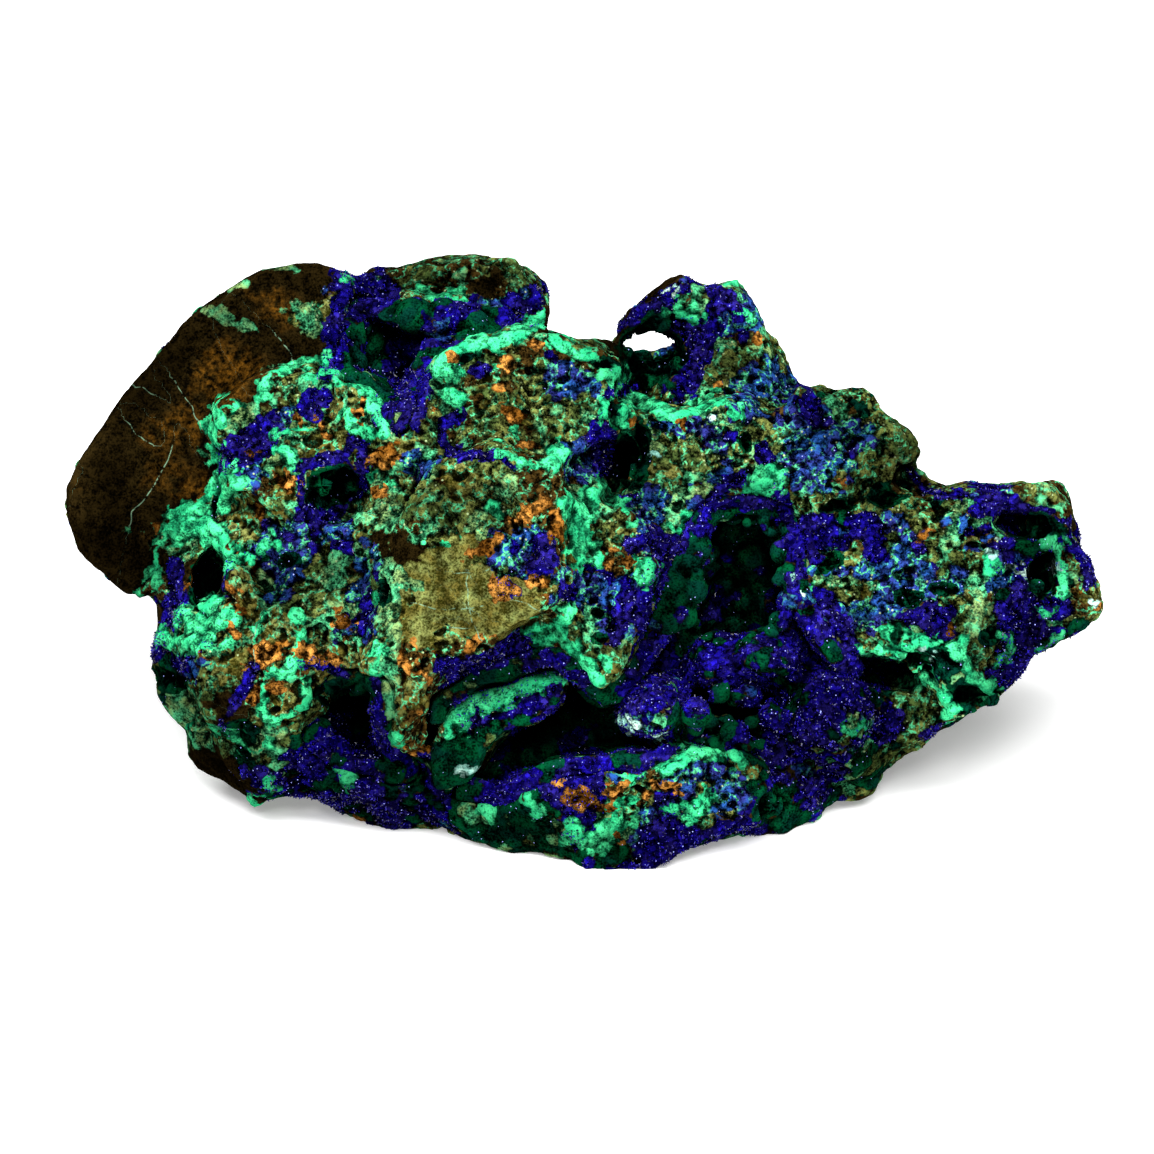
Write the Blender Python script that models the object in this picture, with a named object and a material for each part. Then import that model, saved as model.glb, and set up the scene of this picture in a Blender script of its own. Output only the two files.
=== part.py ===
# Azurite and malachite on limonite: a cabinet specimen that stands on its own rough foot.
#
# The rock is shaped in the plane that a viewer sees, leaning back from the table: u runs to the
# right, v up the leaning face, and w out of the rock towards the viewer, all in millimetres.
# At the end everything is turned upright, cut flat at the foot and moved, so that +Z is up and the
# origin is on the table under the middle of the specimen.

import math

import bmesh
import bpy
from mathutils import Matrix, Vector, noise

MM = 0.001

# Driving sizes
LEAN_BACK = math.radians(30)  # how far the face leans back from upright
FOOT_LEVEL = -34.6  # height of the flat foot against the middle of the face, mm
MIDDLE = Vector((0.95, 12.0, FOOT_LEVEL))  # the table point under the middle of the specimen, mm
CORE_GRAIN = 1.3  # voxel size of the rough solids, mm
CUTTER_LENGTH = 60  # how far a hollow's cutter runs out of the mouth, mm
TABLE_CUTTER = 0.2  # half the side of the block that cuts the foot flat, metres
WALL_GAP = 0.7  # clearance between the rock and the crust, thinning out both included, mm
CRUST_THICKNESS = 2.0  # malachite and azurite on a hollow's walls, between its swellings, mm
CRUST_BELOW_RIM = 0.9  # how far a crust stays inside the outer skin, mm
MATRIX_TRIANGLES = 7000
NOISE_SEED = 5

# Broken, cellular rock: size across and height of each kind of unevenness, mm
LUMPS = (9.0, 1.5)
CELLS = (4.2, 1.5)
RIBS = (6.0, 1.8)
BOULDER_WARP = (11.0, 2.4)
HOLLOW_WARP = (5.0, 1.1)
SWELLINGS = (6.5, 1.2)  # round malachite swellings in the hollows
SLAB_SHARE = 0.12  # how much of the unevenness the smooth slab has
SLAB_EDGE = 14  # over how many mm the slab's smoothness gives way
CRUST_TRIANGLES = {"main_vug_crust": 1500, "top_vug_crust": 700, "lower_vug_crust": 600}

# Boulders: centre (u, v, w), radii along u, v and w, turn about the line of sight in degrees
CORE_BOULDERS = [
    ((-12, -3, -14), (45, 31, 25), 0),
    ((22, -6, -14), (32, 26, 21), -10),
    ((52, 0, -10), (20, 12, 13), -8),
    ((45, -14, -13), (15, 11, 12), 25),
    ((37, -20, -13), (15, 11, 12), 15),
    ((-42, -12.5, -10), (21, 16, 16), -40),
    ((-45, -22, -10), (12, 9, 12), -30),
    ((-27, -27.5, -8), (15, 9, 9), -12),
    ((27, -30, -8), (9, 8, 9), 0),
    ((2, -28, -10), (29, 13.5, 17), 2),
    ((-19, 36, -23), (14, 8, 9), 3),
    ((-21, 30, -18), (14, 10, 14), 0),
    ((20, 23, -14), (13, 12, 10), -30),
    ((-4, -4, -34), (40, 22, 14), 0),
    ((-46, 20, -20), (17, 15, 9), 40),
]

# Outlines (u, v) of what stands out of the rock, or is sunk in it, as seen from the front
SLAB = [
    (-74, 9.5), (-73, 15), (-69.5, 20), (-67, 24), (-61, 31.5), (-56.5, 37), (-51.5, 40.5),
    (-45, 44.5), (-39.5, 45.5), (-34.5, 44.5), (-32, 42), (-33, 34), (-35.5, 22.5),
    (-46.5, 12.5), (-54, 2.5), (-60.5, -2.5), (-63.5, -2), (-68, 0), (-72, 4),
]
OCHRE_BLOCK = [
    (-26, 2.5), (-29.5, -4.5), (-29, -16), (-27.5, -23.5), (-23.5, -23.5), (-19.5, -13),
    (-11, -9), (-2.5, -3.5), (-1, 5.5), (-2, 16.5), (-11, 18), (-21, 15.5),
]
MOTTLED_TOP = [
    (-19.5, 33), (-8, 35), (3.5, 32.5), (6.5, 29.5), (5.5, 21), (-2.5, 16), (-18, 16.5),
    (-26.5, 15), (-28.5, 21), (-25.5, 26),
]
LEFT_CRUST = [
    (-52, 24.5), (-45, 29.5), (-34.5, 29.5), (-28, 26.5), (-27, 20.5), (-29.5, 15.5),
    (-39.5, 8), (-49.5, 12.5),
]
LEFT_PILLAR = [
    (-50, 2.5), (-45, -3.5), (-39, -5.5), (-39.5, -13), (-46.5, -17.5), (-48.5, -21.5),
    (-52, -20.5), (-55.5, -14.5), (-53, -9), (-50, -4.5),
]
GREEN_TONGUE = [
    (-3, 11), (3.5, 13), (9, 8), (11.5, 0.5), (9, -6), (4, -15.5), (-0.5, -9), (-2.5, -3.5),
]
ARM_RIM = [
    (6.5, 24.5), (17.5, 22.5), (23.5, 25), (32, 21), (36, 12.5), (26, 11.5), (16.5, 9.5),
    (12, 4.5), (9, 11), (7, 19.5),
]
RIGHT_BROW = [
    (32, 27), (40.5, 25), (48, 19.5), (50.5, 12.5), (60.5, 12.5), (67.5, 13.5), (70.5, 8),
    (67.5, 5.5), (59, -9), (59, -16), (54.5, -16), (52, -12), (42, -12), (37.5, -7.5),
    (33.5, -2), (32, 6.5), (30.5, 15.5),
]
RIGHT_END = [
    (60, 11), (67.5, 13), (71, 10.5), (71, 6), (73.5, 1), (74.3, -5), (70, -7.5), (66, -10.5),
    (63, -13.5), (60, -17), (55, -21), (52, -16), (56, 0),
]
BACK_RIDGE = [
    (-32, 42.5), (-29, 44.5), (-19.5, 45.5), (-9.5, 46.5), (-6.5, 42.5), (-4.5, 41.5),
    (-5, 37), (-8, 34), (-19.5, 37), (-28, 37), (-32.5, 37),
]
SPIRE = [
    (5, 33), (8, 38), (12, 41.5), (15.5, 43), (18, 40), (22.5, 42.5), (24.5, 38.5), (28, 35),
    (28.5, 32), (26, 29.5), (30, 27), (31, 20), (18, 18), (16, 30), (11, 33.5),
]
BOTTOM_KNOB = [
    (-1.5, -30.5), (6, -27.5), (17.5, -24.5), (23.5, -24), (27.5, -28.5), (26, -34),
    (16, -38.5), (11, -41), (6.5, -43), (1, -41.5),
]
LEDGE = [
    (-20.5, -26), (-18.5, -20), (-14.6, -17.4), (-9.6, -15.6), (-4.6, -13.8), (-1, -14),
    (-2, -17.5), (-8, -20.5), (-12, -24.5), (-15, -29), (-19.5, -30),
]

# Relief: outline, depth of the back, depth of the front, lean of the front along u and v
RELIEFS = [
    (SLAB, -22, -6, 0.16, -0.05),
    (OCHRE_BLOCK, -8, 15, 0.10, -0.10),
    (MOTTLED_TOP, -12, 9, 0.0, -0.12),
    (LEFT_CRUST, -14, 5, 0.12, -0.15),
    (LEFT_PILLAR, -14, 8, 0.10, 0.0),
    (GREEN_TONGUE, -6, 13, 0.0, -0.10),
    (ARM_RIM, -16, 5, -0.05, -0.10),
    (RIGHT_BROW, -16, 4, -0.05, -0.10),
    (RIGHT_END, -14, 1, -0.10, -0.10),
    (BACK_RIDGE, -30, -14, 0.0, 0.0),
    (SPIRE, -20, -8, 0.0, 0.0),
]

# Hollows: outline of the mouth, depth of the floor, and rounded rooms behind the mouth
MAIN_VUG = [
    (17.5, 10.5), (23.5, 12), (30.5, 11.5), (32.5, 5.5), (33.5, -3.5), (37, -9), (40.5, -13),
    (39, -20.5), (32, -23.5), (29, -30), (23.5, -24.5), (9, -27.5), (-2.5, -29),
    (-11, -33), (-20, -31), (-22.5, -24), (-20.5, -16.5), (-14.5, -12.5), (-8, -10.5),
    (-2.5, -9), (1, -12), (4, -16.5), (7.5, -13), (10.5, -6), (13, 2.5),
]
TOP_VUG = [
    (-33, 41), (-25.5, 39.5), (-15.5, 39), (-7, 38.5), (-7.5, 35.5), (-16.5, 33), (-21, 30.5),
    (-23, 25.5), (-23.5, 19.5), (-26.5, 18.5), (-28, 25.5), (-33, 27), (-35, 29.5), (-34, 35.5),
]
LOWER_VUG = [
    (-39.5, -16), (-34, -13.5), (-25.5, -13.5), (-26.5, -23.5), (-22.5, -26), (-21, -29.5),
    (-26, -30), (-34, -27.5), (-39.5, -23.5),
]
HOLLOWS = {
    "main_vug_crust": (MAIN_VUG, -14, [((24, -2, -11), (11, 12, 9)), ((8, -20, -11), (26, 9, 10))]),
    "top_vug_crust": (TOP_VUG, -19, [((-25, 33, -16), (9, 7, 6))]),
    "lower_vug_crust": (LOWER_VUG, -12, [((-31, -21, -10), (8, 7, 8))]),
}
# Pits with no crust of their own: centre, radii, turn
PITS = [
    ((-33.5, 11, 8), (5, 3.6, 11), 30),
    ((9.5, 27.5, 2), (5, 4, 14), 20),
    ((5.5, 14.5, 8), (2.4, 5.5, 16), -10),
    ((63.5, 7.5, 2), (4, 2.2, 10), -15),
    ((67, 1, 2), (2.4, 3.2, 9), 0),
    ((44, -13.5, 0), (6, 2.6, 12), -20),
    ((-52.5, 0.5, 0), (2.2, 5, 16), -12),
    ((10.5, 34, -10), (5.2, 1.5, 26), 8),
    ((49, 14, -2), (4, 3, 6), 0),
]
# What stands in the hollows, grown on their walls: centre, radii, turn
KNOBS = [
    ((10.5, -19, 0), (5.5, 4.6, 13), 20),
    ((27.5, -11.5, -3), (5, 4.2, 9), 0),
    ((20, -13, -4), (5, 4, 8), 0),
    ((36, -20, -3), (7, 7, 10), 30),
    ((-41.5, -18, -1), (3, 2.6, 9), 0),
    ((-37.5, -17.5, -1), (2.4, 2.4, 9), 0),
    ((1, -30, -2), (4.5, 3, 9), -15),
]


def boulder(rock, centre, radii, turn, warp=1.0):
    """A rounded lump whose skin is pushed about by slow noise."""
    across, height = BOULDER_WARP
    ball = bmesh.ops.create_icosphere(rock, subdivisions=4, radius=1)
    spin = Matrix.Rotation(math.radians(turn), 3, "Z")
    for vertex in ball["verts"]:
        place = Vector([vertex.co[axis] * radii[axis] for axis in range(3)])
        place = spin @ place + Vector(centre)
        vertex.co = place + noise.noise_vector(place / across) * height * warp


def block(rock, outline, back, front, lean_u=0.0, lean_v=0.0, dome=1.2):
    """A block that fills the outline, with a domed front that leans by so much per millimetre."""
    middle_u = sum(point[0] for point in outline) / len(outline)
    middle_v = sum(point[1] for point in outline) / len(outline)
    foot = rock.faces.new([rock.verts.new((u, v, back)) for u, v in outline])
    raised = bmesh.ops.extrude_face_region(rock, geom=[foot])["geom"]
    for vertex in (item for item in raised if isinstance(item, bmesh.types.BMVert)):
        lean = (vertex.co.x - middle_u) * lean_u + (vertex.co.y - middle_v) * lean_v
        vertex.co.z = front + lean
    top = [item for item in raised if isinstance(item, bmesh.types.BMFace)]
    if dome:
        bmesh.ops.inset_region(rock, faces=top, thickness=2.0, depth=dome)


def object_from(name, shape):
    """A scene object that holds the bmesh."""
    bmesh.ops.recalc_face_normals(shape, faces=shape.faces)
    mesh = bpy.data.meshes.new(name)
    shape.to_mesh(mesh)
    shape.free()
    made = bpy.data.objects.new(name, mesh)
    bpy.context.scene.collection.objects.link(made)
    return made


def settled(made):
    """The object with its modifiers worked into its mesh."""
    graph = bpy.context.evaluated_depsgraph_get()
    mesh = bpy.data.meshes.new_from_object(made.evaluated_get(graph))
    made.modifiers.clear()
    made.data = mesh
    return made


def fused(made, grain=CORE_GRAIN, smoothing=3):
    """Overlapping shapes made one closed skin, with its corners worn round."""
    remesh = made.modifiers.new("fuse", "REMESH")
    remesh.mode = "VOXEL"
    remesh.voxel_size = grain
    if smoothing:
        smooth = made.modifiers.new("wear", "SMOOTH")
        smooth.factor = 0.5
        smooth.iterations = smoothing
    return settled(made)


def combined(made, other, operation, solver="EXACT"):
    """A Boolean of two closed shapes; the second one is used up."""
    cut = made.modifiers.new("combine", "BOOLEAN")
    cut.operation = operation
    cut.solver = solver
    cut.object = other
    settled(made)
    bpy.data.objects.remove(other)
    return made


def duplicate(made, name):
    """A second object with a mesh of its own."""
    twin = made.copy()
    twin.data = made.data.copy()
    twin.name = name
    bpy.context.scene.collection.objects.link(twin)
    return twin


def moved_along_normals(made, distance, grain=1.0):
    """Every point moved out of the surface by a distance or a function of its place, then fused."""
    mesh = made.data
    normals = [vertex.normal.copy() for vertex in mesh.vertices]
    for vertex, normal in zip(mesh.vertices, normals):
        step = distance(vertex.co) if callable(distance) else distance
        vertex.co += normal * step
    return fused(made, grain, 0)


def uneven(place, kind, shift=0.0):
    """Noise of one kind at a place: its value times its height."""
    across, height = kind
    return noise.noise(place / across + Vector((shift, -shift, shift))) * height


def ruggedness(place):
    """Lumps and dents of broken, cellular rock; the slab on the upper left stays smooth."""
    from_slab = place.x + 60 + 0.9 * (20 - place.y)
    share = min(1.0, max(SLAB_SHARE, from_slab / SLAB_EDGE))
    ribs = 0.4 * RIBS[1] - abs(uneven(place, RIBS, 9.0))
    return (uneven(place, LUMPS) + uneven(place, CELLS, 5.0) + ribs) * share


def swellings(place):
    """Round malachite swellings, as a height above the crust between them."""
    across, height = SWELLINGS
    nearest = noise.voronoi(place / across)[0][0]
    return height * max(0.0, 1 - nearest * nearest * 2.2)


def largest_body(made):
    """Only the largest connected piece of the mesh is kept."""
    shape = bmesh.new()
    shape.from_mesh(made.data)
    left = set(shape.verts)
    bodies = []
    while left:
        body = set()
        edge = [left.pop()]
        while edge:
            vertex = edge.pop()
            body.add(vertex)
            for link in vertex.link_edges:
                other = link.other_vert(vertex)
                if other in left:
                    left.discard(other)
                    edge.append(other)
        bodies.append(body)
    keep = max(bodies, key=len)
    loose = [vertex for vertex in shape.verts if vertex not in keep]
    bmesh.ops.delete(shape, geom=loose, context="VERTS")
    shape.to_mesh(made.data)
    shape.free()
    return made


def thinned(made, triangles):
    """Fewer triangles, with the shape kept."""
    made.modifiers.new("facets", "TRIANGULATE")
    settled(made)
    fewer = made.modifiers.new("fewer", "DECIMATE")
    fewer.ratio = min(1.0, triangles / len(made.data.polygons))
    return settled(made)


def rough_rock():
    """The whole mass before any hollow opens in it."""
    rock = bmesh.new()
    for centre, radii, turn in CORE_BOULDERS:
        boulder(rock, centre, radii, turn)
    for outline, back, front, lean_u, lean_v in RELIEFS:
        block(rock, outline, back, front, lean_u, lean_v)
    mass = fused(object_from("rough_rock", rock), smoothing=3)
    return moved_along_normals(mass, ruggedness)


def hollow(name):
    """The space of one hollow, running out of its mouth."""
    outline, floor, rooms = HOLLOWS[name]
    space = bmesh.new()
    block(space, outline, floor, CUTTER_LENGTH, dome=0)
    for centre, radii in rooms:
        boulder(space, centre, radii, 0, 0.5)
    made = fused(object_from(name + "_space", space), smoothing=5)
    return moved_along_normals(made, lambda place: uneven(place, HOLLOW_WARP))


def pits():
    """The small pits and slots in the rock's face."""
    holes = bmesh.new()
    for centre, radii, turn in PITS:
        boulder(holes, centre, radii, turn, 0.3)
    return fused(object_from("pits", holes), 0.7, 1)


def grown_in_hollows():
    """Knobs and ledges of coated rock that stand in the hollows."""
    shape = bmesh.new()
    for centre, radii, turn in KNOBS:
        boulder(shape, centre, radii, turn, 0.5)
    block(shape, LEDGE, -10, 7, 0.05, 0.0)
    block(shape, BOTTOM_KNOB, -20, 5, 0.0, 0.1)
    made = fused(object_from("grown", shape), 1.0, 2)
    return moved_along_normals(made, lambda place: ruggedness(place) * 0.6)


def matrix_with_hollows(skin, spaces):
    """The limonite body: the rough mass with its hollows, pits, knobs and ledges."""
    matrix = duplicate(skin, "matrix")
    for space in spaces.values():
        combined(matrix, duplicate(space, "cut"), "DIFFERENCE")
    combined(matrix, pits(), "DIFFERENCE")
    combined(matrix, grown_in_hollows(), "UNION")
    fused(matrix, 1.0, 1)
    largest_body(matrix)
    return thinned(matrix, MATRIX_TRIANGLES)


def crust(name, space, skin, matrix):
    """The botryoidal layer on one hollow's walls, clear of the rock all round.

    The exact solver leaves open edges in cuts as thin as these, so they use the manifold one.
    """
    made = duplicate(space, name)
    rim = moved_along_normals(duplicate(skin, "rim"), -CRUST_BELOW_RIM)
    combined(made, rim, "INTERSECT", "MANIFOLD")
    inner = moved_along_normals(
        duplicate(space, "inner"), lambda place: -CRUST_THICKNESS - swellings(place)
    )
    combined(made, inner, "DIFFERENCE", "MANIFOLD")
    rock = fused(duplicate(matrix, "rock"), 0.9, 0)
    combined(made, moved_along_normals(rock, WALL_GAP, 0.7), "DIFFERENCE", "MANIFOLD")
    largest_body(fused(made, 0.6, 1))
    return thinned(made, CRUST_TRIANGLES[name])


def upright(made):
    """From the leaning face's directions in millimetres to the upright ones in metres."""
    turn = Matrix.Rotation(math.pi / 2 - LEAN_BACK, 4, "X")
    made.data.transform(Matrix.Scale(MM, 4) @ Matrix.Translation(-MIDDLE) @ turn)
    return made


def cut_at_foot(made):
    """Everything below the table is cut off, which leaves the flat foot."""
    below = bmesh.new()
    bmesh.ops.create_cube(below, size=2 * TABLE_CUTTER)
    bmesh.ops.translate(below, verts=below.verts, vec=(0, 0, -TABLE_CUTTER))
    return combined(made, object_from("below_the_table", below), "DIFFERENCE")


def coloured(made, colour, roughness):
    """A Principled material of its own for one node."""
    skin = bpy.data.materials.new(made.name)
    skin.use_nodes = True
    shader = skin.node_tree.nodes["Principled BSDF"]
    shader.inputs["Base Color"].default_value = (*colour, 1)
    shader.inputs["Roughness"].default_value = roughness
    shader.inputs["Metallic"].default_value = 0
    made.data.materials.clear()
    made.data.materials.append(skin)


def build():
    """The rock and the crusts of its three hollows."""
    for old in list(bpy.data.objects):
        bpy.data.objects.remove(old)
    noise.seed_set(NOISE_SEED)
    skin = rough_rock()
    spaces = {name: hollow(name) for name in HOLLOWS}
    matrix = matrix_with_hollows(skin, spaces)
    crusts = [crust(name, space, skin, matrix) for name, space in spaces.items()]
    for helper in [skin, *spaces.values()]:
        bpy.data.objects.remove(helper)

    largest_body(cut_at_foot(upright(matrix)))
    coloured(matrix, (0.09, 0.07, 0.035), 0.75)
    for made in crusts:
        upright(made)
        coloured(made, (0.01, 0.12, 0.08), 0.45)


build()
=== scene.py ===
# %% [markdown]
# # An azurite and malachite specimen
# This lesson dresses a rock in the minerals that grew on it. The frame holds four plain solids: the
# brown rock, called matrix, and the crystal crusts of its three hollows. Each of them is copied, given
# fine lumps, lips and crystals, and then painted with minerals that grow over one another.

# %% Load the frame
import math
import random

import bmesh
import bpy
import numpy as np
from mathutils import Matrix, Vector, noise
from mathutils.bvhtree import BVHTree
from mathutils.kdtree import KDTree


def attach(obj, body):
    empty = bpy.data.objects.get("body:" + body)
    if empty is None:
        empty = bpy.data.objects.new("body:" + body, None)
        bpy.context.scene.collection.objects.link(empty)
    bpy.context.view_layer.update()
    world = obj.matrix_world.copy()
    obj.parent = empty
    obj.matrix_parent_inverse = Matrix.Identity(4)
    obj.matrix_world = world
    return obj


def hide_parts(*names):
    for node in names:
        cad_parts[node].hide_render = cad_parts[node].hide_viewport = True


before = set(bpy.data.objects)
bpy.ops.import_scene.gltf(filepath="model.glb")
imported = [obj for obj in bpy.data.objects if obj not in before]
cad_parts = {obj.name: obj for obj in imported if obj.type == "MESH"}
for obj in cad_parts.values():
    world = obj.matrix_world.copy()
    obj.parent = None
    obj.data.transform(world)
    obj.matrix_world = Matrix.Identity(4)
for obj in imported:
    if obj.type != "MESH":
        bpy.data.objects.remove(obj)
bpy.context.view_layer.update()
noise.seed_set(11)
print("nodes:", sorted(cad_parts))

# %% [markdown]
# ## Where things are
# The rock's decorated face leans back by 30 degrees, so places on it are easier to give along the face
# than in the room: u runs to the right, v up the leaning face and w out of it, all in millimetres. The
# camera looks straight at that face from far away with a long lens, because a distant camera bends the
# shape least. A place as the camera sees it is found with similar triangles.

# %% Face coordinates and the camera
MM = 0.001
LEAN = math.radians(30)
ACROSS = Vector((1, 0, 0))
UP_FACE = Vector((0, math.sin(LEAN), math.cos(LEAN)))
OUT = Vector((0, -math.cos(LEAN), math.sin(LEAN)))
FACE_MIDDLE = Vector((-0.95, -12.0, 34.6)) * MM
FACE_AXES = np.array([ACROSS, UP_FACE, OUT])
EYE_DISTANCE = 1100.0
PIXELS_PER_MM = 7
PHOTO_WIDTH = 1154 / PIXELS_PER_MM
SENSOR = 36.0


def in_room(u, v, w):
    """A place on the face, in millimetres, as a place in the room, in metres."""
    return FACE_MIDDLE + (ACROSS * u + UP_FACE * v + OUT * w) * MM


def on_face(places):
    """Places in the room as (u, v, w) in millimetres, one row each."""
    return (np.asarray(places) - np.array(FACE_MIDDLE)) @ FACE_AXES.T / MM


def as_seen(face_places):
    """Where the camera sees places on the face, as (u, v) in millimetres."""
    nearer = EYE_DISTANCE / (EYE_DISTANCE - face_places[:, 2:3])
    return face_places[:, :2] * nearer


EYE = in_room(0, 0, EYE_DISTANCE)
camera_data = bpy.data.cameras.new("camera")
camera_data.sensor_width = SENSOR
camera_data.lens = SENSOR * EYE_DISTANCE / PHOTO_WIDTH
camera_data.clip_start = 0.05
camera = bpy.data.objects.new("camera", camera_data)
camera.matrix_world = Matrix.Translation(EYE) @ Matrix((ACROSS, UP_FACE, OUT)).transposed().to_4x4()
bpy.context.scene.collection.objects.link(camera)
bpy.context.scene.camera = camera
print(f"lens {camera_data.lens:.0f} mm for a frame {PHOTO_WIDTH:.0f} mm wide")

# %% [markdown]
# ## Helpers for meshes
# A copied solid comes as loose triangles, so its points are merged first. Shapes that only overlap are
# made one closed skin with a voxel remesh, as a sculptor would do. Moving many points is quick when all
# of them are read and written at once.

# %% Objects, copies and modifiers


def shown(name, mesh):
    """A scene object for the mesh."""
    made = bpy.data.objects.new(name, mesh)
    bpy.context.scene.collection.objects.link(made)
    return made


def settled(thing):
    """The thing with its modifiers worked into its mesh."""
    graph = bpy.context.evaluated_depsgraph_get()
    mesh = bpy.data.meshes.new_from_object(thing.evaluated_get(graph))
    thing.modifiers.clear()
    thing.data = mesh
    return thing


def merged_copy(name, node):
    """A copy of a CAD node with its loose triangles joined at their corners."""
    shape = bmesh.new()
    shape.from_mesh(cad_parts[node].data)
    bmesh.ops.remove_doubles(shape, verts=shape.verts, dist=1e-6)
    mesh = bpy.data.meshes.new(name)
    shape.to_mesh(mesh)
    shape.free()
    return shown(name, mesh)


def fused(thing, grain):
    """Overlapping shapes made one closed skin."""
    remesh = thing.modifiers.new("fuse", "REMESH")
    remesh.mode = "VOXEL"
    remesh.voxel_size = grain * MM
    return settled(thing)


print("objects ready")

# %% Points read and moved all at once


def places_of(mesh):
    """All points of a mesh, one row each."""
    flat = np.empty(len(mesh.vertices) * 3, np.float32)
    mesh.vertices.foreach_get("co", flat)
    return flat.reshape(-1, 3).astype(float)


def normals_of(mesh):
    """The direction out of the surface at each point."""
    flat = np.empty(len(mesh.vertices) * 3, np.float32)
    mesh.vertex_normals.foreach_get("vector", flat)
    return flat.reshape(-1, 3).astype(float)


def moved_out(thing, distances):
    """Every point moved along its normal by its own distance in millimetres."""
    mesh = thing.data
    places = places_of(mesh) + normals_of(mesh) * np.asarray(distances)[:, None] * MM
    mesh.vertices.foreach_set("co", places.astype(np.float32).ravel())
    mesh.update()
    return thing


def added(thing, shape):
    """The bmesh's shapes put into the thing's mesh, which empties the bmesh."""
    whole = bmesh.new()
    whole.from_mesh(thing.data)
    extra = bpy.data.meshes.new("extra")
    shape.to_mesh(extra)
    shape.free()
    whole.from_mesh(extra)
    whole.to_mesh(thing.data)
    whole.free()
    bpy.data.meshes.remove(extra)
    return thing


print("points ready")

# %% Noise, and what the camera meets


def unevenness(places, across, shift=0.0):
    """Smooth noise between about -1 and 1 at each place, with bumps so many millimetres across."""
    scaled = places / (across * MM) + shift
    return np.array([noise.noise(place) for place in scaled.tolist()])


def sight_tree(things):
    """What a ray from the camera can meet."""
    corners = []
    faces = []
    for thing in things:
        start = len(corners)
        corners += [vertex.co.copy() for vertex in thing.data.vertices]
        faces += [[start + index for index in face.vertices] for face in thing.data.polygons]
    return BVHTree.FromPolygons(corners, faces)


solids_tree = sight_tree(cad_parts.values())
STEP_COST = 1.5 * MM


def met(u, v, tree, reach=0.0):
    """The place and normal that the camera sees at (u, v), or the nearest one within the reach."""
    best = None
    steps = [(0, 0)] if not reach else [(0, 0), (reach, 0), (-reach, 0), (0, reach), (0, -reach)]
    for du, dv in steps:
        towards = (in_room(u + du, v + dv, 0) - EYE).normalized()
        place, normal, _, distance = tree.ray_cast(EYE, towards)
        if place is not None and (best is None or distance < best[2] - STEP_COST * bool(du or dv)):
            best = (place, normal, distance)
    if best is None or not reach:
        return best
    towards = (in_room(u, v, 0) - EYE).normalized()
    return EYE + towards * best[2], best[1], best[2]


print("the camera meets the middle of the face", round(met(0, 0, solids_tree)[2], 3), "m away")
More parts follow.
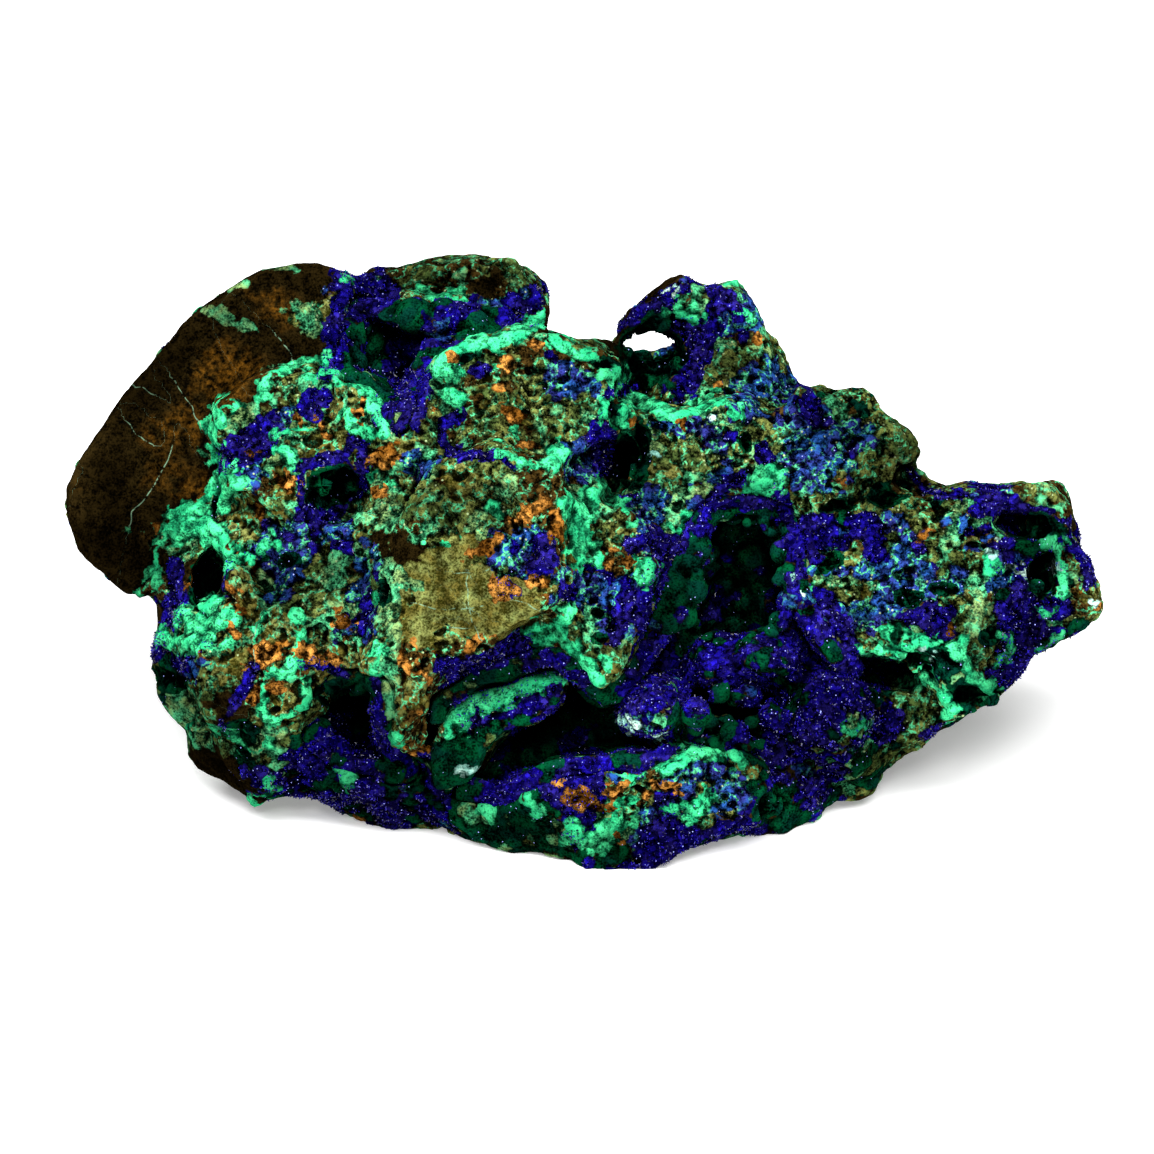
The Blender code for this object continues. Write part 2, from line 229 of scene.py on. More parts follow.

# %% [markdown]
# ## The map of the face
# Minerals grow in patches. A patch is drawn by its middle line and half its width, or by an ellipse,
# all as the camera sees them, in millimetres. The lists below were read from the photograph. A
# lip is a swollen band of pale malachite, which grew where a crust curled over the rim of a hollow.

# %% Lips of pale green malachite along the rims
LIPS = [
    (1.0, [(-52, 16.5), (-51.8, 19), (-52, 21.5), (-51, 23), (-50.8, 24.5), (-49, 24.3)]),
    (0.6, [(-45, 26), (-44.5, 28), (-43, 29.3), (-40.2, 30.2), (-39.5, 31), (-38.3, 30), (-37, 27.8),
           (-36.3, 29), (-35.7, 31.2)]),
    (1.2, [(-34.5, 28.7), (-32.5, 29), (-31.5, 27.5), (-30, 26.5), (-29, 24.8), (-28.3, 23.2),
           (-27.6, 21.5), (-27.7, 20.2), (-29.8, 20.8), (-31.5, 21.3), (-32.6, 22.3)]),
    (0.7, [(-43, 20), (-41, 20.8), (-38, 21)]),
    (0.8, [(-42.5, 18), (-41, 17.6), (-40, 16.3)]),
    (1.2, [(-49.5, 15.7), (-50.5, 14.5), (-51.5, 13), (-52.7, 11.6), (-54, 10), (-55.5, 9), (-57.5, 8.6)]),
    (1.1, [(-48.3, 14.2), (-50, 12.5), (-50.2, 11), (-50, 9.7)]),
    (1.7, [(-57, 7), (-55, 7.2), (-53, 7), (-51.5, 5.5), (-50.5, 3.5)]),
    (0.6, [(-58.5, 6.5), (-60, 4.3), (-60.3, 1.5), (-60.5, -0.5), (-62, -2), (-63.2, -4)]),
    (0.8, [(-51, 4), (-50.3, 2)]),
    (1.7, [(-56, -6), (-54.2, -7), (-52.5, -7.5), (-50.8, -6.6), (-49.5, -5.7)]),
    (1.1, [(-59, -9), (-56.5, -9.5), (-54.5, -9), (-52, -10.2), (-50, -9.5)]),
    (0.35, [(-45, -5), (-45.8, -7), (-46.3, -9), (-46, -11)]),
    (1.0, [(-40.2, -5.2), (-39.8, -7), (-39.5, -9), (-40, -11), (-41, -13), (-42.5, -13.8), (-43.6, -13)]),
    (0.7, [(-44.8, -16), (-45, -18), (-44.5, -20.2), (-42.5, -20.4), (-41, -19.6), (-39, -18.4),
           (-38.4, -17), (-38.7, -15.6)]),
    (1.0, [(-28.5, -10), (-28.6, -14), (-28.5, -17), (-28.9, -19.5), (-28.6, -21.6), (-27.3, -23),
           (-25.8, -23.2)]),
    (0.5, [(-55, -21.5), (-52, -21.6), (-49, -23), (-46.5, -25), (-44, -24)]),
    (0.5, [(-22, 5), (-20.3, 5.5), (-18, 5.6)]),
    (0.8, [(-10.5, 17.3), (-8, 16.8), (-6, 16), (-4.5, 16)]),
    (1.6, [(-3.4, 16.3), (-2.6, 17.8)]),
    (1.7, [(-1.2, 10.5), (0.2, 9), (1, 7), (1, 4.8), (0.3, 3.2)]),
    (0.9, [(1.5, 3.2), (3.5, 2.6)]),
    (0.9, [(2.3, 12.3), (3.4, 13.5), (4.2, 12.2)]),
    (0.8, [(5.3, 11), (6.7, 11)]),
    (0.7, [(6.2, 9.5), (7.8, 8.6)]),
    (1.2, [(-1.8, -5.3), (-2.2, -7.5), (-1.7, -9.2), (-0.4, -11.2), (1, -12.4), (2.2, -13.1),
           (3.4, -14.3)]),
    (0.6, [(3.8, -13.6), (4.5, -12), (5, -10.6)]),
    (1.4, [(-18.4, -22), (-18.2, -20), (-17, -18.4), (-15.5, -17), (-14, -16.4), (-12, -17.1),
           (-10, -16.7), (-8.3, -15.8), (-6, -15.5), (-4.5, -14.8), (-3, -14.2)]),
    (1.5, [(-19, 28.8), (-19.5, 30), (-19.2, 31.6), (-18, 33), (-16.4, 33.8), (-14.8, 34), (-13.3, 33.6),
           (-12, 33), (-10.7, 33.6), (-9.5, 34.4), (-8.2, 35.6)]),
    (1.7, [(-7.5, 36), (-5.8, 36.4)]),
    (1.1, [(-3, 34), (-1.5, 33), (0, 32), (1.8, 31.5)]),
    (1.0, [(3.6, 28.9), (5, 29.2), (6, 28.4), (6.4, 27.4)]),
    (0.6, [(4.2, 24.7), (3.8, 22.7)]),
    (1.0, [(-22.5, 41.3), (-20, 40.2), (-18.3, 40.3), (-17, 39.6), (-15.8, 38.6)]),
    (1.1, [(7.4, 22), (7.3, 24.5), (8.2, 26.2), (9.4, 26), (10.2, 24.9), (12, 23.9), (14.5, 23.2),
           (16.5, 23.6), (18.5, 24.4), (20.5, 25.1), (21.6, 24.8), (22.6, 23)]),
    (0.6, [(13.6, 38), (14.6, 38.8), (16, 39), (17.5, 39), (18.5, 38.3), (18, 37.3), (16, 37.2),
           (14.2, 37.3)]),
    (1.3, [(26, 13.2), (27.5, 13.8), (28.8, 14)]),
    (0.7, [(23.5, 38.3), (25, 36.5)]),
    (0.9, [(66.7, 4.6), (68, 4.5), (69, 3.7), (68.7, 2.2), (69, 0.5), (69.4, -1), (69, -2.6)]),
    (0.8, [(69.5, -7.6), (68, -9), (66.5, -10.6)]),
    (0.7, [(41, -10.6), (43, -11.3), (45, -11), (46.5, -11)]),
    (0.6, [(47.3, -9.6), (49, -9.4), (51.5, -9.2)]),
    (1.0, [(53.6, -10.6), (54.4, -11.2), (55.4, -9.5)]),
    (0.8, [(55.4, -12), (56.3, -13.8), (57.8, -15.3), (59.4, -15.3)]),
    (0.7, [(61, -8.6), (61.8, -10), (61.2, -11.4), (59.6, -12)]),
    (0.9, [(47.3, -14.6), (49.5, -14.3), (51.3, -16), (52.8, -17.8)]),
    (1.0, [(7.2, -29), (7.9, -27.7), (9.5, -26.6), (11.5, -26.3), (13.3, -26.8), (14.7, -26.4),
           (16, -25.3), (18, -24.4), (20, -24.5), (21.5, -25.1), (22.4, -26.2)]),
    (1.2, [(3.6, -36), (4.6, -34.6), (5, -33)]),
    (1.6, [(-1, -36.6), (0.4, -36.3)]),
    (0.9, [(-13, -31.5), (-13, -34.3)]),
    (0.8, [(-7, -31.8), (-5.6, -33.8)]),
    (1.0, [(13, -33), (15, -33.5), (17, -33.8), (18, -32), (18.3, -30)]),
    (0.7, [(38.5, -22), (41, -21.4)]),
]
KNOB_SPOTS = [
    (-52.2, -4, 1.5), (-44.5, 4.3, 1.5), (-46.5, 2.4, 1.2), (-33, -28, 1.7), (-46, -32.4, 1.2),
    (-44, -29.5, 0.9), (-5.3, -8.2, 1.9), (-3.9, -8.6, 1.6), (-6.7, -8.3, 1.2), (9.4, 1, 1.9),
    (59.3, 1.5, 1.7), (67, -5, 1.3), (27.4, 15.2, 1.1), (-17.8, 25.6, 1.6), (32.6, -1.6, 0.9),
    (2.4, -37.2, 0.9), (53.4, -19.3, 1.1), (22.5, 42, 0.6), (-33.2, 42.6, 0.8),
]
print(len(LIPS), "lips and", len(KNOB_SPOTS), "knobs")

# %% Round swellings of dark malachite: place as seen and radius
ROCK_BALLS = [
    (-36.5, 13, 1.5), (-36.8, 14.8, 1.1), (-32.8, 13.3, 1.6), (13.5, 30.5, 2.0), (14.5, 27.8, 1.5),
    (12, 36.5, 1.8), (7, 31.3, 1.7), (9.5, 31, 1.7), (5.8, 23.4, 1.3), (17.5, 31.5, 1.1),
    (66.5, 7.2, 2.2), (64.3, 7.4, 1.5), (66.2, 0.6, 1.8), (65.6, -1.4, 1.4), (48.5, -12.3, 1.4),
    (52, -12.3, 1.4), (56, -18, 1.8), (59, -17, 1.5), (27.5, -32.5, 2.0), (-61, -13.5, 1.6),
    (-57.5, -15.5, 1.5),
]
MAIN_BALLS = [
    (25, 3.5, 3.2), (21.5, 3, 2.2), (28.4, 5.6, 2.0), (22.3, 9, 1.6), (16, 3, 2.6), (13.3, -1.3, 2.6),
    (17, -1, 2.4), (20.5, -0.6, 2.4), (24, -3, 3.0), (27.5, -3.5, 2.2), (29.3, 1, 1.3), (18, -5.6, 2.8),
    (13.3, -6, 2.2), (22.3, -7, 2.4), (10, -9.3, 2.0), (7, -12, 2.4), (2, -19, 2.6), (-2, -20, 2.8),
    (-6, -20, 3.0), (-9.5, -21.5, 2.6), (-13, -23.3, 2.4), (-7, -26, 2.2), (1.2, -24, 2.2),
    (25, -18.4, 1.7), (22, -21, 2.0), (26, -25, 2.4), (35.4, -17.4, 2.3), (30.5, -20.3, 1.7),
    (30.2, -17, 1.2), (18, -20.6, 2.1), (5.5, -17.5, 2.2), (-17.5, -27.5, 1.6), (-13.5, -27.5, 1.5),
    (14.5, -21.5, 1.3),
]
MAIN_AZURITE_BALLS = [
    (17, -11, 3.2), (13.5, -12.3, 2.2), (31, -12, 3.5), (24.3, -15, 2.2), (28.3, -18, 1.6),
    (33.5, -22.3, 1.7), (31.5, -9.6, 1.8), (21.8, -12.6, 1.9), (41.5, -16.5, 2.6), (38.7, -16.3, 1.6),
    (9.3, -3.5, 2.4), (7.5, -7, 2.0), (43.5, -19, 2.4), (27, -8, 1.6), (-5, -25, 1.5), (-2.5, -27.3, 1.4),
    (37, -12.5, 2.0),
]
RIM_BALLS = [
    (18.2, 7.6, 1.7), (17.2, 4.2, 2.1), (18.4, 1, 1.5), (16.6, -1.8, 2.2), (15.4, -5.6, 1.9),
    (21, 9.4, 1.5), (25.6, 9.2, 1.8), (28.6, 7.2, 1.5), (29.4, 3.6, 1.9), (30.2, 0, 1.5),
    (30.6, -3.6, 2.0), (28.9, -6.4, 1.6), (17, -19.5, 2.2), (19.5, -21.8, 2.0), (22.5, -22.6, 2.2),
    (26, -22.4, 1.9), (27.8, -20, 1.9), (24.5, -16.9, 2.0), (20.5, -16.6, 1.5),
]
TOP_BALLS = [
    (-30, 33.5, 2.7), (-29.6, 36.5, 1.6), (-32.2, 30.4, 2.4), (-28.3, 29.5, 2.5), (-23.2, 37.4, 2.8),
    (-20.6, 36.6, 2.4), (-24.2, 39, 2.4), (-19, 37.4, 2.6), (-22.8, 33, 2.1), (-20.9, 32.6, 1.6),
    (-25.2, 33.5, 1.3), (-14.6, 36, 2.3), (-11, 36.5, 2.4), (-8.7, 35.6, 1.9), (-17, 35.2, 1.8),
    (-21.5, 28, 1.6), (-20, 30.4, 1.4), (-26.5, 23.4, 1.6), (-26.3, 21.2, 1.2),
]
LOWER_BALLS = [
    (-37, -22, 2.0), (-34.5, -25, 2.2), (-31.5, -22.5, 2.0), (-28.5, -25, 1.8), (-36.5, -17.5, 1.8),
    (-30, -17, 2.0), (-25.5, -27.5, 1.8),
]
print(len(MAIN_BALLS) + len(TOP_BALLS) + len(LOWER_BALLS), "balls of malachite in the hollows")

# %% Bands of azurite: half a width and a middle line
AZURITE_BANDS = [
    (1.3, [(-33.7, 43), (-33.5, 40.5), (-34.3, 37.5), (-35, 34), (-34.5, 31), (-36, 29)]),
    (1.2, [(-36.5, 25.7), (-38.3, 26.3), (-38.8, 24.3), (-37.2, 23.2)]),
    (1.5, [(-43.5, 23), (-44.5, 21.7), (-46.3, 20.5), (-48.3, 19.5), (-49.7, 18.3)]),
    (1.3, [(-50, 16.8), (-48, 16.8), (-45.8, 17.6), (-43.6, 19)]),
    (1.0, [(-39.5, 15.5), (-37.5, 16.6), (-35, 16.8), (-33, 17.6), (-32.3, 19.2), (-30.8, 18.8),
           (-30.3, 15.5), (-30.8, 13.2), (-32.2, 11.8), (-33.7, 10.6), (-35.2, 8.8), (-37.3, 8.2),
           (-38.7, 9.8), (-39.2, 11.6), (-39.6, 13.6)]),
    (1.5, [(-57.5, 1), (-57, -2), (-57.6, -6)]),
    (0.7, [(-40.5, -12.4), (-37.5, -12), (-35, -13.2), (-33, -14)]),
    (0.8, [(-50.5, -20.8), (-49, -18.4), (-47, -15.4), (-46, -12.6)]),
    (1.1, [(-24.8, 26.6), (-24, 23.6), (-25.6, 21.2)]),
    (0.8, [(-16.5, 23.5), (-18.8, 22), (-19.5, 19.6), (-18, 17.8), (-15, 17.3), (-12, 17.2)]),
    (0.6, [(-10.8, 17), (-9.5, 15.8)]),
    (1.4, [(13.2, 39.5), (13.4, 36.8), (16.5, 36), (18.8, 34.6), (18.3, 32), (16.8, 29.8), (15.8, 27)]),
    (1.0, [(4.6, 26.2), (7, 26.6), (8.6, 27.4)]),
    (1.3, [(3.2, 22), (3.6, 18.5), (3.8, 15.4)]),
    (1.1, [(17.8, 6.8), (18.2, 9.3), (19.6, 11.6), (21.6, 13.2), (24, 13.9)]),
    (1.2, [(29, 12.5), (29.6, 10), (30.6, 7.6), (32.3, 6), (35, 5.2), (38, 4.6)]),
    (1.4, [(8, 4.2), (10.5, 5.5), (13.3, 5), (14.5, 4.6)]),
    (1.1, [(60, 9.6), (62, 9.8), (64.5, 8.9), (67.5, 8.3), (69.3, 6.6), (71, 4.6), (73, 2.6)]),
    (1.4, [(35.5, -3), (37.3, -6), (38.8, -9), (40, -12), (43, -13), (46, -12.6)]),
    (0.7, [(-3, -15.8), (-5, -17), (-7.5, -18), (-9.8, -19.5), (-12.5, -20.3), (-14.5, -20.8)]),
    (1.4, [(-19, -12.8), (-16, -13), (-13, -12), (-10.5, -10.9), (-8, -9.8)]),
    (1.0, [(7, -0.5), (7.5, -3), (6.3, -6), (5.7, -9)]),
    (0.6, [(13.6, 41), (11, 39.4), (8.5, 37.4), (6.4, 35.8)]),
    (1.2, [(19.5, 40.8), (21.2, 39.6), (23.3, 37.5)]),
    (0.7, [(47.6, 14.8), (49, 12.6), (52, 11.6), (56, 11.8)]),
]
print(len(AZURITE_BANDS), "bands of azurite")

# %% Ellipses of each mineral, of rust and of painted shade: (u, v, half width, half height, turn)
AZURITE_SPOTS = [
    (50, -5.6, 3.6, 2, -8), (52.6, -8, 2, 1, 0), (34, 7, 3.6, 2, -20), (41, 7.4, 2.6, 2, 0),
    (42.6, 4, 2, 2.4, 0), (-4.5, 3.6, 2, 2.6, 20), (-10, -1.6, 1.4, 2, 30), (63.6, -5.5, 3, 9, -14),
    (60.6, -14, 3, 2, 0), (-14.6, 29.2, 1.6, 1, 10), (-3.4, 31.4, 1, 0.9, 0), (19.5, 38.2, 1.5, 1.5, 0),
    (27, 17.5, 1.5, 2, 30), (33, 24.5, 1.6, 3, 20), (-57, -12.6, 1.8, 1.4, 0),
    (-60.6, -10.5, 2.6, 1.6, -20), (-53, -9.7, 1.2, 1, 0), (10.5, -17.6, 4, 2, 25),
    (17, -17.5, 2.4, 2.4, 0), (-28.8, -15.8, 0.8, 2, 0), (-1.4, -2, 1.4, 1.6, 0), (61.5, 3, 1.2, 2, 0),
    (73, 0.6, 1.2, 2.6, 0), (0.4, -30.5, 4.4, 2.6, -25), (68.5, -4.6, 3, 2, 0),
]
STEEL_SPOTS = [
    (-2, 28, 3.6, 1.9, -8), (2.6, 27.4, 1.2, 1.4, 0), (2.6, -1.4, 3.6, 2.4, -20), (3, -6.3, 2, 3, 10),
    (10, 10.5, 3.4, 2.2, 10), (-11, 4.6, 2.2, 2.4, 30), (-7.5, 6, 3, 1.4, 15), (-2.6, 0, 0.7, 1.6, -20),
    (18.6, -27.7, 4.2, 2, 10), (21, -31.5, 4, 2.6, 20), (15, 21.6, 4, 1.4, 5), (49.5, -0.5, 1.8, 3, 10),
    (40.5, -6, 4, 1.8, 10), (-46.5, 14.4, 2, 1.4, 0), (-44.3, 21.5, 1.4, 1.6, 0),
    (-23, 16.4, 1.8, 1.6, 0), (33.6, 15, 2, 3, 0), (-33.8, -7.6, 2.2, 1, 40), (24, 27, 3, 1.6, -20),
    (0.6, 17.6, 1.6, 2, 0),
]
DARK_SPOTS = [
    (-35, 13, 4.2, 3, 20), (11.5, 31, 4.6, 3.4, 30), (10, 35.4, 5, 1.4, 28), (8, 17.5, 2.6, 5.4, -4),
    (5.6, 23.5, 1.8, 2.4, 10), (66.3, 7.3, 3.8, 1.8, -12), (66.3, 0, 2.2, 3, 0),
    (50, -11.6, 5.4, 1.8, -8), (-51.4, 11, 0.9, 3.2, -14), (-53, -0.8, 2.4, 4.4, -8),
    (57, -17.4, 4.6, 3, -10), (28, -33, 3, 2.4, 20), (-58.5, -14.6, 3, 1.6, -25), (4, 30.6, 2.4, 1.2, 0),
    (44.5, 12, 3.4, 2, 10), (37.5, 10.2, 2.6, 1.2, 0), (24, 19.3, 1.2, 1.6, 0), (21.6, 26.7, 0.8, 0.7, 0),
    (-41, 2.2, 1.6, 1.2, 0), (-27.6, -2, 1, 2.2, 0), (-33.5, -16.6, 4.6, 2.2, 0), (3.6, -8.8, 1.4, 1, 0),
    (3, -5.2, 1, 0.8, 0), (59, -8.6, 1.6, 1.4, 0), (36.3, 2, 2.2, 1.1, 30), (47.4, -3, 2, 1.6, 0),
    (52, -1.6, 2, 1, 0), (-16.4, 31.2, 2, 0.9, 20), (-1, -15.6, 1.2, 1, 0),
]
OCHRE_SPOTS = [
    (-20, -4.4, 7, 5.6, 0), (-13, -4.6, 6.4, 4.6, 20), (-18.6, 2, 4.4, 2.6, 35), (-7.6, -4.6, 3, 1.8, 15),
    (-31.4, -11.8, 2.6, 1.8, 0), (-48, 6.8, 2.8, 2.4, -20), (-47.4, -2, 1.8, 3.6, 20),
    (-46.4, -6.4, 1.4, 3, 0), (-42.6, -7.4, 3.2, 2.6, 0), (-38.3, 18.4, 2.4, 1.4, 0),
    (-35.2, 38.6, 1.8, 2.4, 10), (-34.8, 24.6, 1.4, 2, 0), (-41.5, 12.4, 2.2, 1.6, -20),
    (-25.2, 18.2, 1.6, 1.4, 0), (-47, 11.6, 1, 1, 0), (6, 5.5, 1.8, 1.6, 0), (-49.5, -13.4, 2, 3.4, -30),
    (-16.4, 14.2, 2, 2.2, 0), (-42.6, -18, 1.4, 1.8, 0), (-39.6, -16.6, 1, 1.4, 0),
]
ORANGE_SPOTS = [
    (-7, 9, 3.4, 1.3, 25), (-3, 7.4, 1.1, 2.2, 10), (-13.2, 4.4, 2.4, 0.9, 35), (-10.4, -1.8, 1.6, 2, 20),
    (-6, -0.7, 1.6, 0.8, -20), (-13.6, -9.3, 1.4, 0.5, 10), (-24.5, -13, 0.7, 2.2, -6),
    (-45.6, 18, 1, 0.6, 0), (-41, 13.6, 1.8, 0.9, -40), (-40, 22.6, 1.1, 0.8, -20),
    (-36.4, 21.6, 0.8, 1.6, 20), (-31, 24.6, 0.5, 0.9, 0), (-30.4, 22.6, 0.6, 0.5, 0),
    (-27.6, 17.4, 2.2, 1.4, 20), (-28, 12, 1.2, 0.8, -20), (-33.5, -6.2, 1.6, 1.2, -30),
    (-42.6, -10.6, 3, 0.9, 0), (-48.6, -3.6, 0.8, 1.6, 20), (-49.4, -7.6, 1.3, 0.7, -20),
    (-52.8, -11, 0.6, 0.9, 0), (-38, -11.4, 1, 0.7, 0), (-35.4, -11.8, 1, 0.6, 0),
    (-43, -16, 1.2, 0.7, 0), (-29, -26.5, 1.1, 2, 30), (26.2, 34, 0.6, 0.5, 0), (8.2, 22.2, 0.5, 0.5, 0),
    (15, 21.8, 0.5, 0.5, 0), (20.6, 27.2, 0.7, 0.5, 0), (22.6, 27, 0.5, 0.4, 0), (5, -31, 0.9, 1.2, 0),
    (6.4, -30.4, 0.8, 0.8, 0), (4.6, -33, 0.7, 1, 0), (6.4, -37, 0.6, 0.5, 0), (12.8, -30, 1.8, 0.8, -20),
    (0.4, -31.6, 3.4, 1.3, -28), (49.8, 6, 0.9, 0.4, 0), (-9.6, 30.4, 1, 0.6, 0),
    (-10.8, 27.6, 0.7, 0.6, 0), (-9.8, 23.6, 1.2, 1, 0), (-17.9, 31.4, 0.5, 0.4, 0),
    (-20.3, 24.6, 0.6, 0.6, 0), (6.2, 2.6, 1.4, 0.8, -20), (-55.6, -1, 0.5, 1.4, 0),
    (8.4, -27.8, 0.8, 0.5, 0), (-48, -12.4, 0.9, 0.5, 20), (71.4, -2.2, 0.7, 0.6, 0),
    (37.4, 14, 0.4, 1, 0), (53.6, -7, 0.4, 1, 0),
]
PALE_SPOTS = [
    (62.4, 1.4, 1.2, 0.7, 0), (59.4, 3.4, 0.9, 0.5, 0), (64, 0.8, 0.5, 0.7, 0), (51, -10.6, 0.8, 0.4, 0),
    (7.2, -20.8, 1.3, 0.8, -30), (12, -22.4, 0.9, 0.4, -40), (11, 17.6, 0.7, 0.6, 0),
    (13.2, -32.4, 0.7, 0.6, 0), (20, 22.6, 0.9, 0.4, 0), (32.2, -1, 0.4, 0.9, 15),
    (73.4, -3.4, 0.5, 0.5, 0), (68.4, 1.4, 0.3, 0.6, 20), (-16, -27.6, 1, 0.3, 10),
    (13.4, 40.8, 0.6, 0.4, 0),
]
SEA_SPOTS = [
    (-50.3, 37.2, 1.8, 1.1, -20), (-47.2, 35.6, 1.6, 0.8, -40), (-52.6, 38, 1, 0.8, 0),
    (-48.2, 41.6, 1.4, 0.5, 10), (-42, 44.2, 2.6, 0.7, 0), (-38.2, 37.4, 1.7, 1.3, 0),
    (-37.6, 35.4, 1.9, 1.2, 10), (-53, 17.6, 1.4, 0.5, -40), (-64, 6.6, 1, 0.4, 0),
    (57, -4.6, 1.2, 6, -12), (-26.6, -4, 1.3, 7, 4), (-26.6, -16, 1, 5, 0), (13, -16.8, 1.3, 2, -20),
    (11.8, -20.6, 1.2, 1, 0), (-23.6, -1, 2.4, 0.9, 0), (1.6, -7, 1.2, 3, 0),
]
RUST_GLOW = [
    (-49.6, 30, 5.6, 4.4, 20), (-42.6, 38, 4.6, 2.4, -10), (-57, 21.4, 4.2, 2.4, 0),
    (-70.6, 11.6, 2.6, 3, 0), (-61, 13, 4, 3, 30), (-55, 12, 3, 2, 0),
]
MINT_SPOTS = [
    (-16.6, -19.6, 2.2, 3, -20), (-12.4, -17.8, 3, 1.3, 10), (-55.4, 7.4, 2.6, 2, 0),
    (-54, -6.6, 2.8, 1.6, -10), (0.4, 6.6, 1.6, 4.6, 4), (-5.2, -8, 2.6, 1.2, 0), (27.2, 14, 2.4, 1.5, 6),
    (-17.8, 25.6, 2, 1.1, 0), (9.4, 1, 2, 1.7, 20), (59.3, 1.4, 1.7, 1.7, 0), (68.2, 4.5, 1.6, 1, -20),
    (43, -10.6, 1.6, 0.8, 0), (-33, -27.8, 1.3, 2, 10), (-46, -32.6, 1.2, 1.4, 0),
    (5, -34.6, 1.6, 2.4, 0), (10.5, -27.4, 3, 1, 0), (-46.5, 2.4, 1.1, 1, 0), (-44.4, 4.2, 1.8, 1.3, -20),
]
# Painted shade, not a mineral: zones that lie in deep shade, where the material darkens the colour
PAINTED_SHADE_SPOTS = [
    (-66, 5, 9, 12, 0), (-62, 30, 5, 10, -38), (-52, -26, 9, 8, 0), (-30, -31, 20, 6, -5),
    (-32, -20, 9, 7, 0), (34, -22, 15, 9, 0), (64, -12, 9, 8, 0), (12, -5, 4, 9, -20), (23, 12, 6, 3, 0),
    (43, 13, 7, 4, 0), (10, 34, 8, 5, 30), (8, 16, 4, 7, 0), (-20, 43, 12, 3, 0), (-57, -16, 7, 5, -30),
    (12, -39, 14, 4, 0), (-49, 36.6, 6, 2.6, -35), (-42, 44, 4, 1.6, 0), (-38, 36.4, 2.4, 3, 0),
    (-33.5, -17, 5, 3, 0), (-26, -29, 12, 4, 0), (-8, -36, 9, 4, -25), (46, 17, 6, 5, 0),
    (21, 31, 4, 3, 0), (-18, 11, 6, 3, 0), (-43, -2, 5, 4, 0), (-34, 1, 5, 4, 0), (38, 22, 8, 4, -20),
    (-11, -14, 11, 4, 20), (66, 3, 5, 5, 0),
]
print(len(AZURITE_SPOTS) + len(STEEL_SPOTS) + len(ORANGE_SPOTS), "ellipses of azurite, steel blue and orange")

# %% Thin veins
VEINS = [
    [(-57.8, 19.2), (-58.2, 17), (-59.4, 15), (-60.6, 12.8), (-62, 10.8), (-63.4, 9.6), (-63.9, 7.4)],
    [(-58, 28.6), (-56.6, 26.8), (-55.4, 25), (-54.6, 23), (-53.6, 21.4)],
    [(-64.2, 22), (-63.2, 20.6), (-62, 19.6), (-60.4, 19)],
    [(-64, 27.6), (-62, 27), (-60.4, 26)],
    [(-43, 34.6), (-41.4, 33), (-40.6, 31)],
    [(-25, -3.2), (-22, -4), (-19.6, -4.5), (-16.6, -4.6), (-13.6, -4.2)],
    [(-15.8, 0.4), (-15.6, -3), (-15.2, -5.6), (-14, -8.4), (-12.4, -9.8)],
    [(-18.6, -7), (-16.6, -7.4), (-15.2, -7.2)],
    [(-8.6, -3.4), (-7, -4.2), (-5.3, -4.9)],
    [(-17, 0.6), (-15, 0.2), (-12.8, 1)],
    [(-45, -5), (-45.8, -7), (-46.3, -9), (-46, -11)],
]
print(len(VEINS), "veins")

# %% [markdown]
# ## Mixtures and their labels
# Between the drawn patches, each stretch of the face has a mixture of minerals. A mixture is a list of
# shares, and a label says where a mixture is found. The nearest label counts, so a few hundred labels
# cover the face, and the hollows have labels of their own because they lie behind the rock's rims.

# %% Shares of the minerals in each mixture
MIXTURES = {
    "limonite": {"limonite": 1.0},
    "brown_lace": {"limonite": 0.46, "olive": 0.34, "sea": 0.16, "orange": 0.04},
    "olive": {"olive": 0.84, "sea": 0.12, "limonite": 0.04},
    "olive_lace": {"olive": 0.62, "sea": 0.22, "mint": 0.02, "ochre": 0.08, "limonite": 0.06},
    "ochre": {"ochre": 0.94, "olive": 0.06},
    "ochre_lace": {"ochre": 0.4, "olive": 0.24, "sea": 0.16, "orange": 0.06, "mint": 0.04, "limonite": 0.1},
    "burnt": {"limonite": 0.64, "orange": 0.1, "ochre": 0.26},
    "steel": {"steel": 0.76, "azurite": 0.16, "olive": 0.04, "sea": 0.04},
    "steel_olive": {"steel": 0.46, "olive": 0.3, "sea": 0.12, "azurite": 0.12},
    "azurite": {"azurite": 0.84, "steel": 0.16},
    "deep": {"azurite": 0.74, "dark": 0.22, "steel": 0.04},
    "blue_green": {"azurite": 0.38, "steel": 0.28, "sea": 0.2, "olive": 0.14},
    "frosted": {"azurite": 0.6, "pale": 0.12, "steel": 0.28},
    "sea": {"sea": 0.7, "olive": 0.26, "mint": 0.04},
    "sea_mint": {"sea": 0.5, "mint": 0.28, "olive": 0.22},
    "mint": {"mint": 0.85, "sea": 0.15},
    "dark": {"dark": 0.88, "azurite": 0.12},
    "dark_sea": {"dark": 0.66, "sea": 0.16, "olive": 0.18},
    "dark_olive": {"olive": 0.5, "limonite": 0.3, "dark": 0.2},
    "pale_lace": {"pale": 0.06, "sea": 0.42, "olive": 0.3, "ochre": 0.1, "mint": 0.12},
    "speckled": {"steel": 0.4, "olive": 0.3, "sea": 0.14, "azurite": 0.14, "mint": 0.02},
    "knob": {"steel": 0.42, "olive": 0.3, "mint": 0.1, "sea": 0.1, "orange": 0.04, "limonite": 0.04},
}
print(len(MIXTURES), "mixtures")
